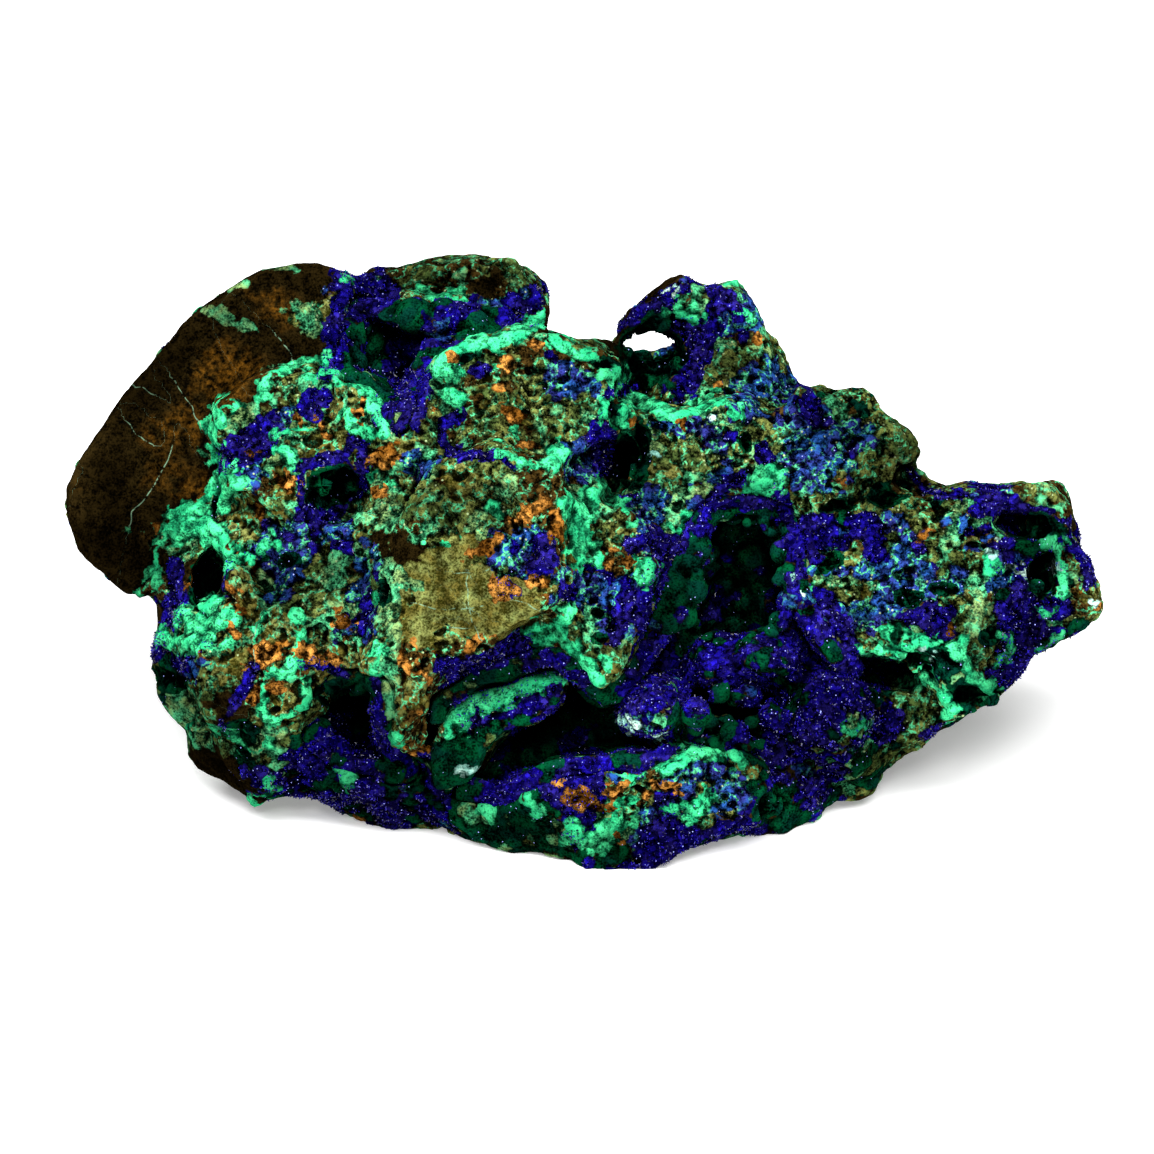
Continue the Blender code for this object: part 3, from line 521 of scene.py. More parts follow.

# %% Labels at given places
LABELS = {
    "limonite": [
        (-70, 10), (-65, 15), (-60, 22), (-60, 10), (-66, 5), (-62, 2), (-55, 33), (-50, 38), (-45, 41),
        (-40, 42.5), (-36, 43.5), (-55, 25), (-50, 28), (-47, 27.5), (-56, 15), (-54, 18), (-43, 33),
        (-40, 34), (-47, 35), (-57, 11), (-64, 0), (-37, 33), (-41.5, 31.5), (-58, 3), (-61, -5),
        (-26.6, 5), (2, 35), (-2, 36.5), (8, 40), (12, 42), (5, 37), (7, 38.5), (10, 41), (13, 43),
        (-13, 42), (-52, -27), (-50, -18), (-54, 29), (-68, 18), (-53, 22), (-56, 0), (-48, -30),
    ],
    "brown_lace": [
        (-20, 44), (-15, 44.5), (-8, 44), (-26, 44), (-22, 42), (-17, 42), (-6, 31), (-16, 20),
        (-6, 19.5), (-15, 26), (-8, 13), (-25, 8), (65, 12.5), (70, 10.5), (-10, 41.5), (1, 33.5),
        (-47, 11.5), (-42, 28.5), (-60, -1), (-58, 5), (71.5, 1.5), (-22, 11),
    ],
    "olive": [
        (-5, 25), (-2, 23), (0, 24.6), (12, 17), (16.6, 18), (-20, 8), (-24, 11), (45, 19), (46, 16.6),
        (42, 15), (40.4, 12), (40.6, 9.6), (-34.5, 1.5), (-35, -3), (-38, -3.5), (22, 32), (20, 29.6),
        (53, 3), (57, 1.6), (50, -19.6), (47, -17), (47, -24.6), (-53, -15), (-50, -12), (26, 21.6),
        (-9, 26), (46, 21),
    ],
    "olive_lace": [
        (-10, 21), (-12, 29), (-8, 28), (-13, 24), (-12, 14), (-21, 23), (-22, 20), (4, 8), (5.6, 6.4),
        (9, 22.6), (13, 20.6), (14, 13), (10, 14), (-31, 8.5), (-41, 27), (-37, -8.4), (56, -2),
        (4, -11.4), (58, -11.6), (33, 10), (27, 19.6), (-26, 16), (38.6, 3), (-10, 33), (-41, 10),
        (26, 33), (16, 38.6), (21, -28.6), (-15, 10), (38, 23.6), (-56, 3.6), (-11, 10.4),
    ],
    "ochre": [(-20, 0), (-21, -4), (-22, -7.6), (-15, -3), (-14, -7), (-10, -5.6), (-7, -4.4), (-17, 3)],
    "ochre_lace": [
        (-36, 20), (-38, 18), (-43, 14), (-33, 24), (-28, 18), (-35, 37.6), (-17, 14), (-8, 24), (6.6, 3),
        (-48, 7), (-47, -3), (-44, -7), (-39.6, -17), (-43, -18), (-31.6, -12), (72, -2), (-43, -11),
    ],
    "burnt": [
        (-6, 9), (-3, 9), (-2.4, 4), (-1.6, 0), (-20, -11), (-14, -9.8), (-24, -12), (-24, -18),
        (-22, -14.6), (-9, 7), (-4, -5.4), (-24, -22), (-3, 12), (-17, -10.4),
    ],
    "steel": [
        (-44, 5), (-40, 5), (-33, 7), (-30, 3), (-42, 0), (-30, -3), (-30, -7), (-2, 28), (3, -1.4),
        (3.6, -7), (9, 10.6), (-46, 14), (25, 28), (24, 24.6), (20, 20), (18, 12), (36, 20), (40, 19),
        (33, 20), (32, 15), (36, 16), (50, 0), (43, -3), (40, -6), (24, 35.6), (33, 25), (-55, -13),
        (-23, 16), (-38, 7), (36, 23.6), (-44, 22), (0.6, 17.6), (-10, 4), (22, 39), (31, 18),
    ],
    "steel_olive": [
        (28, 30), (31, 24), (38, 21.6), (36.6, 13), (24, 18), (29, 25), (46, 8), (19, 23), (15, 11),
        (12, 8.6),
    ],
    "azurite": [
        (-30, 43), (-28, 41), (-31, 40), (-9, 39), (-12, 39.6), (-6, 40), (-33.6, 41), (-24, 24),
        (-34.6, 35), (17, 35.4), (16, 30), (14, 41), (34, 8), (37, 5), (50, -5.6), (-57, -3), (-61, -9.6),
        (70, 7), (73, 3), (11, 5), (3.6, 19), (-49, 18), (7, -4), (-4, 4), (61, 10),
    ],
    "deep": [
        (62, -4), (64, -9), (61, -13.6), (42, -16.6), (45, -21.6), (33, -29), (-20, -32), (-28, -32),
        (-35, -30), (8, -40), (15, -37), (-38, -27), (-30, -27), (0, -33), (-24, -28), (38, -13),
        (24, -34), (68, -8), (10, -5), (-46, -28.6), (-16, -14), (-8, -10.6), (52, -21.6), (35, -23),
        (20, -12.5), (27.5, -11.5), (31, -12), (36, -19), (24, -14), (16, -12), (33, -16), (13, -13),
        (28, -18),
    ],
    "blue_green": [
        (34, 2), (43, 3), (58, 8), (36, -26), (40, -22), (-1.6, -3), (38, -8.4), (60, -8), (20, -18),
    ],
    "frosted": [(60, 2.6), (62.4, 1), (8, -20), (33, -1), (13.4, -32.4)],
    "sea": [
        (-50, 22), (-47, 22.6), (-26.6, -2), (-26.6, -8), (-26.6, -14), (-15, 8), (-9, 11), (48, -15),
        (53, -19), (-56, -18), (-54, -22), (-45, -24.6), (39, -0.6), (57, -6.6), (-38, 37), (1, -7.6),
        (67.4, -5.4), (22.4, 41.6), (-38, 28),
    ],
    "sea_mint": [
        (44, -10), (5, 12), (13.6, 7.6), (48, -8.4), (-26, -21), (-17, 26), (-41, 18), (-54, -9),
        (-48, 9.6), (18.6, 24.6),
    ],
    "mint": [(1, 10), (0.6, 5), (-56, 7.6), (27.6, 14), (-54, -6), (5, -35)],
    "dark": [
        (18, -20.5), (23, -21.5), (10, 36), (12, 31), (8, 17), (-35, 13), (56, -19), (60, -18), (28, -33),
        (66, 7), (66, 0), (50, -12), (-53, 0),
    ],
    "dark_sea": [(-5, -36), (-9, -34.6), (-60, -14), (-14, -33), (-18, -28), (42, -27), (-48, -23)],
    "dark_olive": [(44, 11), (48, 11), (38, 10), (35, 26), (40, 24), (52, 10)],
    "pale_lace": [(19.6, 22.6), (-26, 13.6), (41, -1.6), (11, 18)],
    "speckled": [
        (46, 3), (50, 7), (54, 8), (45, -1), (57, 4), (48, 4.6), (52, 5), (54, -1), (42, 0), (36, 0),
    ],
    "knob": [(13, -30), (9, -32), (16, -34), (20, -32)],
}
LABELS_IN_HOLLOWS = {
    "dark": [
        (-30, 33), (-22, 37), (-13, 36), (-30, 30.5), (-21, 31), (-28, 29), (24, 4), (16, 1), (19, -1),
        (24, -3), (18, -6), (-2, -20), (-8, -22), (-13, -24), (-4, -27), (22, -21), (26, -25), (35, -17),
        (3, -19), (-19, -28), (30, -16), (14, -18), (22.5, 8.5), (27.5, 7), (21.5, -3), (19, 4),
        (17.5, 8), (16.5, -3), (14.5, 4.5), (13.5, 0), (12, -2), (15, -6), (28, 2), (27, -6), (29, 7),
    ],
    "deep": [
        (26, -11), (31, -12), (17, -11), (24, -15), (34, -8), (38, -14), (30, 5), (9, -3), (36, -4),
        (29, -22), (34, -22), (42, -18), (20, -27), (14, -25), (0, -28), (-8, -30), (-34, -26),
        (-30, -20), (-36, -18), (-29, -29), (-24, -30), (29, -5), (22, -12), (-1, -14), (33, -1), (8, -8),
        (5, -13), (7, -12), (11, -9), (20, 12.5), (26, 14.5), (30.5, 12.5), (33, 6), (26, 11), (22, 11),
        (-26, 31), (-25, 28), (-17, 38.5), (-26, 41), (-31, 40), (-20, 34.5), (-33, 36), (-10, 38.5),
        (-24, 24),
    ],
    "dark_sea": [(-20, -25), (10, 4), (-24, 21), (-15, 35.6), (-32, -17), (-9, -19)],
}
print(sum(len(places) for places in LABELS.values()), "labels")

# %% [markdown]
# ## Inside or outside
# To paint and to raise a patch, each point must know how deep inside the patch it lies. For a band that
# is half its width less the distance to its middle line; for an ellipse the point is turned and
# stretched until the ellipse is a circle. Whole arrays of points are measured at once.

# %% How far inside a drawn patch a place is


def inside_bands(spot, bands):
    """Millimetres inside the nearest band, less than zero outside."""
    depth = np.full(len(spot), -9.0)
    for half_width, line in bands:
        for start, end in zip(line, line[1:]):
            start = np.array(start, float)
            along = np.array(end, float) - start
            share = np.clip((spot - start) @ along / (along @ along), 0, 1)
            away = np.linalg.norm(spot - start - share[:, None] * along, axis=1)
            depth = np.maximum(depth, half_width - away)
    return depth


def inside_spots(spot, spots):
    """Millimetres inside the nearest ellipse, less than zero outside."""
    depth = np.full(len(spot), -9.0)
    for u, v, half_width, half_height, turn in spots:
        angle = math.radians(turn)
        du = spot[:, 0] - u
        dv = spot[:, 1] - v
        along = (du * math.cos(angle) + dv * math.sin(angle)) / half_width
        over = (dv * math.cos(angle) - du * math.sin(angle)) / half_height
        depth = np.maximum(depth, (1 - np.hypot(along, over)) * min(half_width, half_height))
    return depth


def beside_line(spot, line):
    """Signed distance to a line, so that its middle stays sharp between two points of a mesh."""
    nearest = np.full(len(spot), 9.0)
    signed = np.full(len(spot), 9.0)
    for start, end in zip(line, line[1:]):
        start = np.array(start, float)
        along = np.array(end, float) - start
        free = (spot - start) @ along / (along @ along)
        share = np.clip(free, 0, 1)
        off = spot - start - share[:, None] * along
        away = np.linalg.norm(off, axis=1)
        side = np.sign(along[0] * off[:, 1] - along[1] * off[:, 0])
        closer = away < nearest
        signed[closer] = (side * away)[closer]
        nearest[closer] = away[closer]
    return signed


example = inside_spots(np.array([[0.0, 0.0], [3.0, 0.0]]), [(0, 0, 2, 1, 0)])
print("inside and outside an ellipse:", example.round(2).tolist())

# %% [markdown]
# ## Grains
# Most of the crust is made of grains one or two millimetres wide, packed like the cells of a foam. A
# Voronoi pattern has just such cells, and each cell can pick its own mineral from the mixture at its
# middle. Wider cells below give the fine ones neighbours of the same kind, as crystals have in nature.

# %% Grains and the mixture each one belongs to
MINERALS = ["limonite", "olive", "ochre", "sea", "steel", "dark", "azurite", "mint", "orange", "pale"]
MIX_NAMES = list(MIXTURES)
SHARES = np.array([[MIXTURES[name].get(kind, 0.0) for kind in MINERALS] for name in MIX_NAMES])
SHARES = SHARES.cumsum(axis=1)
GRAIN_HEIGHTS = {
    "limonite": 0.12, "brown_lace": 0.3, "olive": 0.55, "olive_lace": 0.5, "ochre": 0.12, "ochre_lace": 0.45,
    "burnt": 0.4, "steel": 0.5, "steel_olive": 0.75, "azurite": 0.4, "deep": 0.4, "blue_green": 0.5,
    "frosted": 0.45, "sea": 0.35, "sea_mint": 0.4, "mint": 0.15, "dark": 0.12, "dark_sea": 0.25,
    "dark_olive": 0.4, "pale_lace": 0.5, "speckled": 0.9, "knob": 0.9,
}
PIT_DEPTHS = {
    "limonite": 0.05, "brown_lace": 0.5, "olive": 0.5, "olive_lace": 0.6, "ochre": 0.1, "ochre_lace": 0.7,
    "burnt": 0.7, "steel": 0.6, "steel_olive": 0.9, "azurite": 0.5, "deep": 0.25, "blue_green": 0.8,
    "frosted": 0.5, "sea": 0.4, "sea_mint": 0.6, "mint": 0.3, "dark": 0.0, "dark_sea": 0.15,
    "dark_olive": 0.8, "pale_lace": 0.6, "speckled": 1.0, "knob": 0.9,
}
HEIGHT_OF_MIX = np.array([GRAIN_HEIGHTS[name] for name in MIX_NAMES])
PIT_OF_MIX = np.array([PIT_DEPTHS[name] for name in MIX_NAMES])
print(len(MINERALS), "minerals")

# %% The label nearest to a place


def label_map(labels):
    """A tree that finds the label nearest to a place, and the number of each label's mixture."""
    names = [name for name in labels for _ in labels[name]]
    places = [place for name in labels for place in labels[name]]
    tree = KDTree(len(places))
    for index, (u, v) in enumerate(places):
        tree.insert((u, v, 0), index)
    tree.balance()
    return tree, [MIX_NAMES.index(name) for name in names]


FACE_LABELS = label_map(LABELS)
HOLLOW_LABELS = label_map(LABELS_IN_HOLLOWS)
print("the middle of the face is", MIX_NAMES[FACE_LABELS[1][FACE_LABELS[0].find((0, 0, 0))[1]]])

# %% The cells of the grain pattern
WIDE_GRAIN = 4.6
FINE_GRAIN = 1.6
FOLLOWING = 0.68


def grains_at(places, across, shift):
    """The middles of each place's grain and of the next one, the distance to the first, and the
    distance to the edge between them."""
    wander = np.stack([unevenness(places, 0.7 * across, 1.3 + axis) for axis in range(3)], axis=1)
    scaled = places / (across * MM) + shift + 0.28 * wander
    middles = np.empty((len(places), 3))
    others = np.empty((len(places), 3))
    near = np.empty(len(places))
    second = np.empty(len(places))
    for row, place in enumerate(scaled.tolist()):
        away, points = noise.voronoi(place)
        middles[row] = points[0]
        others[row] = points[1]
        near[row] = away[0]
        second[row] = away[1]
    middles = (middles - shift) * across * MM
    others = (others - shift) * across * MM
    return middles, others, near, (second - near) * across / 2


def own_number(middles, salt):
    """A number between 0 and 1 that belongs to each grain."""
    mixed = np.sin(middles / MM @ np.array([12.9898, 78.233, 37.719]) + salt) * 43758.5453
    return mixed - np.floor(mixed)


print("grains", FINE_GRAIN, "and", WIDE_GRAIN, "mm wide")

# %% What the grains say about each point
JUST_FACING = -0.12


def seen_by_camera(places, normals, slack=2.6):
    """True where nothing of the frame hides a place that faces the camera."""
    away = places - np.array(EYE)
    far = np.linalg.norm(away, axis=1)
    seen = normals @ np.array(OUT) > JUST_FACING
    for row in np.flatnonzero(seen):
        hit = solids_tree.ray_cast(EYE, Vector(away[row] / far[row]))
        if hit[3] is not None and hit[3] < far[row] - slack * MM:
            seen[row] = False
    return seen


def mixtures_at(places, seen, hidden, labels):
    """The number of the mixture at each place; the hidden mixtures follow slow noise."""
    spot = as_seen(on_face(places))
    spot = spot + 1.1 * np.stack([unevenness(places, 4, 3.3), unevenness(places, 4, 7.7)], axis=1)
    slow = unevenness(places, 16, 1.9) + 0.5 * unevenness(places, 6, 5.1)
    chosen = np.empty(len(places), int)
    for row, (u, v) in enumerate(spot.tolist()):
        if seen[row]:
            chosen[row] = labels[1][labels[0].find((u, v, 0))[1]]
        else:
            level = int(np.clip((slow[row] + 0.75) / 1.5, 0, 0.999) * len(hidden))
            chosen[row] = MIX_NAMES.index(hidden[level])
    return chosen


def grown_minerals(places, seen, hidden, labels):
    """For each place's grain: mixture, mineral, the next grain's mineral, distance to the edge between
    them, the grain's own number and the distance to its middle."""
    middles, others, near, edge = grains_at(places, FINE_GRAIN, 0.37)
    both = np.round(np.concatenate([middles, others]) / MM, 2)
    _, first, back = np.unique(both, axis=0, return_index=True, return_inverse=True)
    back = back.ravel()
    kernels = np.concatenate([middles, others])[first]
    mixture = mixtures_at(kernels, np.concatenate([seen, seen])[first], hidden, labels)
    wide = grains_at(kernels, WIDE_GRAIN, 5.3)[0]
    own = own_number(kernels, 0.5)
    follows = own_number(kernels, 2.5) < FOLLOWING
    luck = np.where(follows, own_number(wide, 1.5), own)
    kind = (SHARES[mixture] < luck[:, None] * 0.9999).sum(axis=1)
    here = back[:len(places)]
    beside = back[len(places):]
    return mixture[here], kind[here], kind[beside], edge, own[here], near


def surveyed(mesh, hidden, labels):
    """What the grains say about each point of a mesh, kept for raising and for painting them."""
    places = places_of(mesh)
    seen = seen_by_camera(places, normals_of(mesh))
    keys = ("mixture", "kind", "beside", "edge", "own", "near")
    survey = dict(zip(keys, grown_minerals(places, seen, hidden, labels)))
    survey["seen"] = seen
    return survey


print("grains ready")

# %% [markdown]
# ## Painting by distance
# A mask drawn only at the points of a mesh looks ragged, because the points are half a millimetre apart.
# So each point keeps how deep inside a mineral it lies: one half is the edge. Between two points the
# value runs evenly, and the material cuts it at one half, which makes an edge finer than the mesh.

# %% Frayed patches, hollow places and values kept at points


def depth_in(places, spot, bands=(), spots=(), fray=0.5):
    """Depth inside drawn patches whose outline is frayed by noise."""
    slow = np.stack([unevenness(places, 2.4, 2.2), unevenness(places, 2.4, 8.8)], axis=1)
    quick = np.stack([unevenness(places, 0.9, 3.2), unevenness(places, 0.9, 6.8)], axis=1)
    frayed = spot + (slow + 0.45 * quick) * fray
    depth = np.full(len(places), -9.0)
    if bands:
        depth = np.maximum(depth, inside_bands(frayed, bands))
    if spots:
        depth = np.maximum(depth, inside_spots(frayed, spots))
    return depth


def hollowness(mesh, rounds):
    """How far each point lies below its neighbours, in millimetres, after smoothing."""
    pairs = np.empty(len(mesh.edges) * 2, np.int32)
    mesh.edges.foreach_get("vertices", pairs)
    left, right = pairs.reshape(-1, 2).T
    places = places_of(mesh)
    count = np.bincount(left, minlength=len(places)) + np.bincount(right, minlength=len(places))
    smooth = places.copy()
    for _ in range(rounds):
        total = np.zeros_like(smooth)
        for axis in range(3):
            total[:, axis] += np.bincount(left, smooth[right, axis], len(places))
            total[:, axis] += np.bincount(right, smooth[left, axis], len(places))
        smooth = total / np.maximum(count, 1)[:, None]
    return np.einsum("ij,ij->i", smooth - places, normals_of(mesh)) / MM


def put(mesh, name, channels):
    """Values between 0 and 1 kept with the points of a mesh, three to an attribute."""
    kept = mesh.attributes.get(name) or mesh.attributes.new(name, "FLOAT_COLOR", "POINT")
    values = np.ones((len(mesh.vertices), 4), np.float32)
    for channel, column in enumerate(channels):
        values[:, channel] = column
    kept.data.foreach_set("color", values.ravel())


def put_one(mesh, name, column):
    """One value of any size kept with each point of a mesh."""
    kept = mesh.attributes.get(name) or mesh.attributes.new(name, "FLOAT", "POINT")
    kept.data.foreach_set("value", column.astype(np.float32))


print("values ready")

# %% Drawn minerals: bands, ellipses, fray and how far whole grains stick out, in millimetres
SWOLLEN_SPOTS = MINT_SPOTS + [(u, v, radius, radius, 0) for u, v, radius in KNOB_SPOTS]
DRAWN = [
    ("ochre", (), OCHRE_SPOTS, 0.6, 1.0),
    ("steel", (), STEEL_SPOTS, 0.6, 1.2),
    ("sea", (), SEA_SPOTS, 0.5, 0.8),
    ("azurite", AZURITE_BANDS, AZURITE_SPOTS, 0.5, 1.0),
    ("dark", (), DARK_SPOTS, 0.5, 0.3),
    ("mint", LIPS, SWOLLEN_SPOTS, 0.8, 1.7),
    ("orange", (), ORANGE_SPOTS, 0.7, 1.5),
    ("pale", (), PALE_SPOTS, 0.7, 1.4),
]
PAINT_ORDER = ["olive", "ochre", "sea", "steel", "dark", "azurite", "mint", "orange", "pale"]
SOFT = 0.8


def amounts_in(places, spot, survey, leave_out):
    """How much of each mineral every point has: its grain's own, and the drawn ones over it."""
    kind, beside = survey["kind"], survey["beside"]
    inside = np.clip(0.5 + survey["edge"] / (2 * SOFT), 0, 1)
    amounts = {}
    for index, name in enumerate(MINERALS):
        amounts[name] = np.where(kind == index, inside, 0.0)
        amounts[name] += np.where(beside == index, 1 - inside, 0.0)
    for name, bands, spots, fray, by_grain in DRAWN:
        if name in leave_out:
            continue
        depth = depth_in(places, spot, bands, spots, fray) + (survey["own"] - 0.5) * by_grain
        cover = np.clip(0.5 + depth / (2 * SOFT), 0, 1) * survey["seen"]
        for other in PAINT_ORDER[PAINT_ORDER.index(name) + 1:]:
            amounts[other] = np.minimum(amounts[other], 1 - cover)
        amounts[name] = np.maximum(amounts[name], cover)
    return amounts


def beside_veins(places, spot, seen):
    """Signed distance to the nearest vein that the camera sees."""
    nearest = np.full(len(places), 9.0)
    for line in VEINS:
        signed = beside_line(spot + 0.35 * unevenness(places, 1.6, 4.4)[:, None], line)
        nearest = np.where(np.abs(signed) < np.abs(nearest), signed, nearest)
    return np.where(seen, nearest, 9.0)


def painted(thing, survey, leave_out=()):
    """The thing with its minerals, its grains' own numbers and its veins kept at its points."""
    mesh = thing.data
    places = places_of(mesh)
    seen = survey["seen"]
    spot = as_seen(on_face(places))
    amounts = amounts_in(places, spot, survey, leave_out)
    glow = np.clip(0.5 + depth_in(places, spot, (), RUST_GLOW, 1.5) / 4, 0, 1)
    # Painted shade in the drawn dark zones, kept with the rust in one channel: rust above one half, painted
    # shade below it
    gloom = np.clip(0.5 + depth_in(places, spot, (), PAINTED_SHADE_SPOTS, 1.2) / 5, 0, 1)
    rust_and_shade = 0.5 + 0.5 * (glow - gloom) * seen
    # How sunk each point lies, which the material turns into painted shade in hollows and painted light on
    # raised places
    sunk = np.clip(0.5 + hollowness(mesh, 3) / 0.5 + hollowness(mesh, 14) / 1.6, 0, 1)
    put(mesh, "green", [amounts["mint"], amounts["sea"], amounts["dark"]])
    put(mesh, "blue", [amounts["azurite"], amounts["steel"], amounts["pale"]])
    put(mesh, "earth", [amounts["olive"], amounts["ochre"], amounts["orange"]])
    # The grain attribute keeps each grain's own number, how sunk the point lies for painted shade, and the
    # rust with the painted shade
    put(mesh, "grain", [survey["own"], sunk, rust_and_shade])
    put_one(mesh, "crust", np.clip(PIT_OF_MIX[survey["mixture"]] / 0.8, 0, 1))
    put_one(mesh, "vein", np.clip(beside_veins(places, spot, seen), -3, 3))
    return thing


print("painting ready")

# %% [markdown]
# ## Round swellings
# Malachite likes to grow in balls. A ball is an icosphere, whose faces are all about the same size. It
# is laid where a ray from the camera meets the skin, and sunk a little, so that the remesh afterwards
# can fuse it with the skin around it.

# %% Balls laid into a thing


def ball(shape, place, radius, sink):
    """A ball whose middle lies below the place, away from the camera."""
    middle = place - OUT * radius * sink * MM
    detail = 3 if radius > 1.4 else 2
    size = Matrix.Diagonal((radius, radius, radius, 1))
    place = Matrix.Translation(middle) @ size
    bmesh.ops.create_icosphere(shape, subdivisions=detail, radius=MM, matrix=place)


def rounded_in(thing, spots, seat, sink, reach=0.0):
    """Balls laid into the thing where the camera sees them, or at the nearest surface within the reach."""
    shape = bmesh.new()
    for u, v, radius in spots:
        found = met(u, v, seat, reach)
        if found:
            ball(shape, found[0], radius, sink)
    return added(thing, shape)


print("balls ready")

# %% [markdown]
# ## The rock
# The rock starts as the plain solid with round swellings fused to it. Grains then rise from its skin,
# higher where the crust is coarse, the lips of malachite swell along the rims, and small pits sink
# where the photograph shows dark holes. Every point moves along its own normal, which is quick and
# keeps the skin closed.

# %% The plain solid with its swellings
rock_grain = 0.37
rock = merged_copy("rock", "matrix")
rounded_in(rock, ROCK_BALLS, solids_tree, sink=0.35)
fused(rock, rock_grain)
print("rock:", len(rock.data.vertices), "points after fusing")

# %% Grains, lips and pits on the rock


def grainy(thing, survey, lips, smooth_spots, swelling, strength=1.0):
    """Grains raised, lips swollen and pits sunk on the thing's skin."""
    mesh = thing.data
    places = places_of(mesh)
    seen = survey["seen"]
    spot = as_seen(on_face(places))
    height = HEIGHT_OF_MIX[survey["mixture"]] * (0.4 + 1.2 * survey["own"])
    dome = np.sqrt(np.clip(1 - (survey["near"] / 0.85) ** 2, 0, 1)) - 0.6
    lip = depth_in(places, spot, lips, smooth_spots, 0.7)
    calm = np.clip(lip / 0.4 + 0.6, 0, 1) * seen
    swell = np.sqrt(np.clip(lip / 1.1, 0, 1)) * seen * (1 + 0.9 * unevenness(places, 1.7, 7.1)) * swelling
    sponge = unevenness(places, 2.6, 9.1) + 0.6 * unevenness(places, 1.2, 6.2)
    sponge = sponge + 0.4 * unevenness(places, 6.5, 2.9)
    holes = np.clip((sponge - 0.2) / 0.3, 0, 1) * PIT_OF_MIX[survey["mixture"]]
    broad = unevenness(places, 6, 3.7) * 0.5 * np.clip(PIT_OF_MIX[survey["mixture"]] + 0.7, 0, 1.1)
    rise = height * dome * (1 - 0.8 * calm) - holes * (1 - 0.9 * calm)
    rise = rise + (broad + 0.12 * sponge) * (1 - 0.5 * calm)
    pit = np.clip(depth_in(places, spot, (), DARK_SPOTS, 0.6), 0, 1.4) * seen * (1 - calm)
    return moved_out(thing, (rise - 1.1 * pit) * strength + swell)


BACK_MIX = ["limonite", "limonite", "brown_lace", "limonite", "olive_lace", "limonite", "steel_olive"]
rock_survey = surveyed(rock.data, BACK_MIX, FACE_LABELS)
grainy(rock, rock_survey, LIPS, SWOLLEN_SPOTS, swelling=0.6)
painted(rock, rock_survey)
print("the camera sees", int(rock_survey["seen"].sum()), "points of the rock")

# %% [markdown]
# ## Fewer triangles
# A remesh gives every place triangles of one size. Where the skin is smooth many of them are wasted, and
# the back needs fewer than the face. The Decimate modifier takes a group of points with weights, which
# tell it where to merge triangles first.

# %% The rock with fewer triangles
ROCK_TRIANGLES = 520000
TURNED_AWAY = -0.05
FACE_WEIGHT = 0.35
MARGIN = 0.98


def thinned(thing, most):
    """The thing with at most so many triangles, fewer of them where the camera never looks."""
    triangles = sum(len(face.vertices) - 2 for face in thing.data.polygons)
    if triangles <= most:
        return thing
    behind = thing.vertex_groups.new(name="behind")
    away = normals_of(thing.data) @ np.array(OUT)
    behind.add(np.flatnonzero(away < TURNED_AWAY).tolist(), 1.0, "REPLACE")
    behind.add(np.flatnonzero(away >= TURNED_AWAY).tolist(), FACE_WEIGHT, "REPLACE")
    thin = thing.modifiers.new("thin", "DECIMATE")
    thin.ratio = most / triangles * MARGIN
    thin.vertex_group = "behind"
    thin.vertex_group_factor = 1.0
    settled(thing)
    thing.vertex_groups.clear()
    return thing


thinned(rock, ROCK_TRIANGLES)
print("rock:", sum(len(face.vertices) - 2 for face in rock.data.polygons), "triangles")

# %% [markdown]
# ## Four slices
# A part with hundreds of thousands of triangles is easier to handle in several pieces. The finished rock
# is cut upright into slices, and each cut is filled flat, so every slice is closed and the slices meet
# exactly. The rim of a cut is marked sharp, which keeps the shading of the outside as it was.

# %% Cut the rock into slices


def set_down(thing):
    """The thing with the points that grew below the floor put back on it."""
    places = places_of(thing.data)
    places[:, 2] = np.maximum(places[:, 2], 0.0)
    thing.data.vertices.foreach_set("co", places.astype(np.float32).ravel())
    thing.data.update()
    return thing


def slice_of(thing, name, low, high):
    """The part of the thing between two upright planes, closed where it was cut."""
    shape = bmesh.new()
    shape.from_mesh(thing.data)
    for limit, side in ((low, -1), (high, 1)):
        if limit is None:
            continue
        parts = shape.verts[:] + shape.edges[:] + shape.faces[:]
        place = FACE_MIDDLE + ACROSS * limit * MM
        cut = bmesh.ops.bisect_plane(shape, geom=parts, dist=1e-7, plane_co=place, plane_no=ACROSS * side,
                                     clear_outer=True)
        rim = [part for part in cut["geom_cut"] if isinstance(part, bmesh.types.BMEdge)]
        bmesh.ops.triangle_fill(shape, use_beauty=False, edges=rim, normal=ACROSS * side)
        for edge in rim:
            edge.smooth = False
    mesh = bpy.data.meshes.new(name)
    shape.to_mesh(mesh)
    shape.free()
    return shown(name, mesh)


set_down(rock)
CUTS = [None, -31.0, -7.0, 18.5, None]
slices = []
for number, (low, high) in enumerate(zip(CUTS, CUTS[1:])):
    slices.append(slice_of(rock, f"rock_{number + 1}", low, high))
    mesh = slices[-1].data
    print(slices[-1].name, sum(len(face.vertices) - 2 for face in mesh.polygons), "triangles")
bpy.data.objects.remove(rock)

# %% [markdown]
# ## The linings of the hollows
# Each hollow is lined with balls of dark malachite, between which azurite crystals grow. The plain lining
# is grown a little, so that it meets the rock without a dark gap, and the balls are fused with it.

# %% How a hollow is lined
HOLLOW_MIX = ["dark", "deep", "dark_sea", "deep", "dark"]
GROWTH = 0.7
RIM_SINK = 0.7
RIM_REACH = 2.5
lining_grain = 0.42


def with_smaller(balls, local):
    """The balls, each with three smaller ones at its side."""
    spots = list(balls)
    for u, v, radius in balls:
        for _ in range(3):
            turn = local.uniform(0, math.tau)
            reach = radius * local.uniform(0.8, 1.1)
            small = radius * local.uniform(0.35, 0.65)
            spots.append((u + reach * math.cos(turn), v + reach * math.sin(turn), small))
    return spots


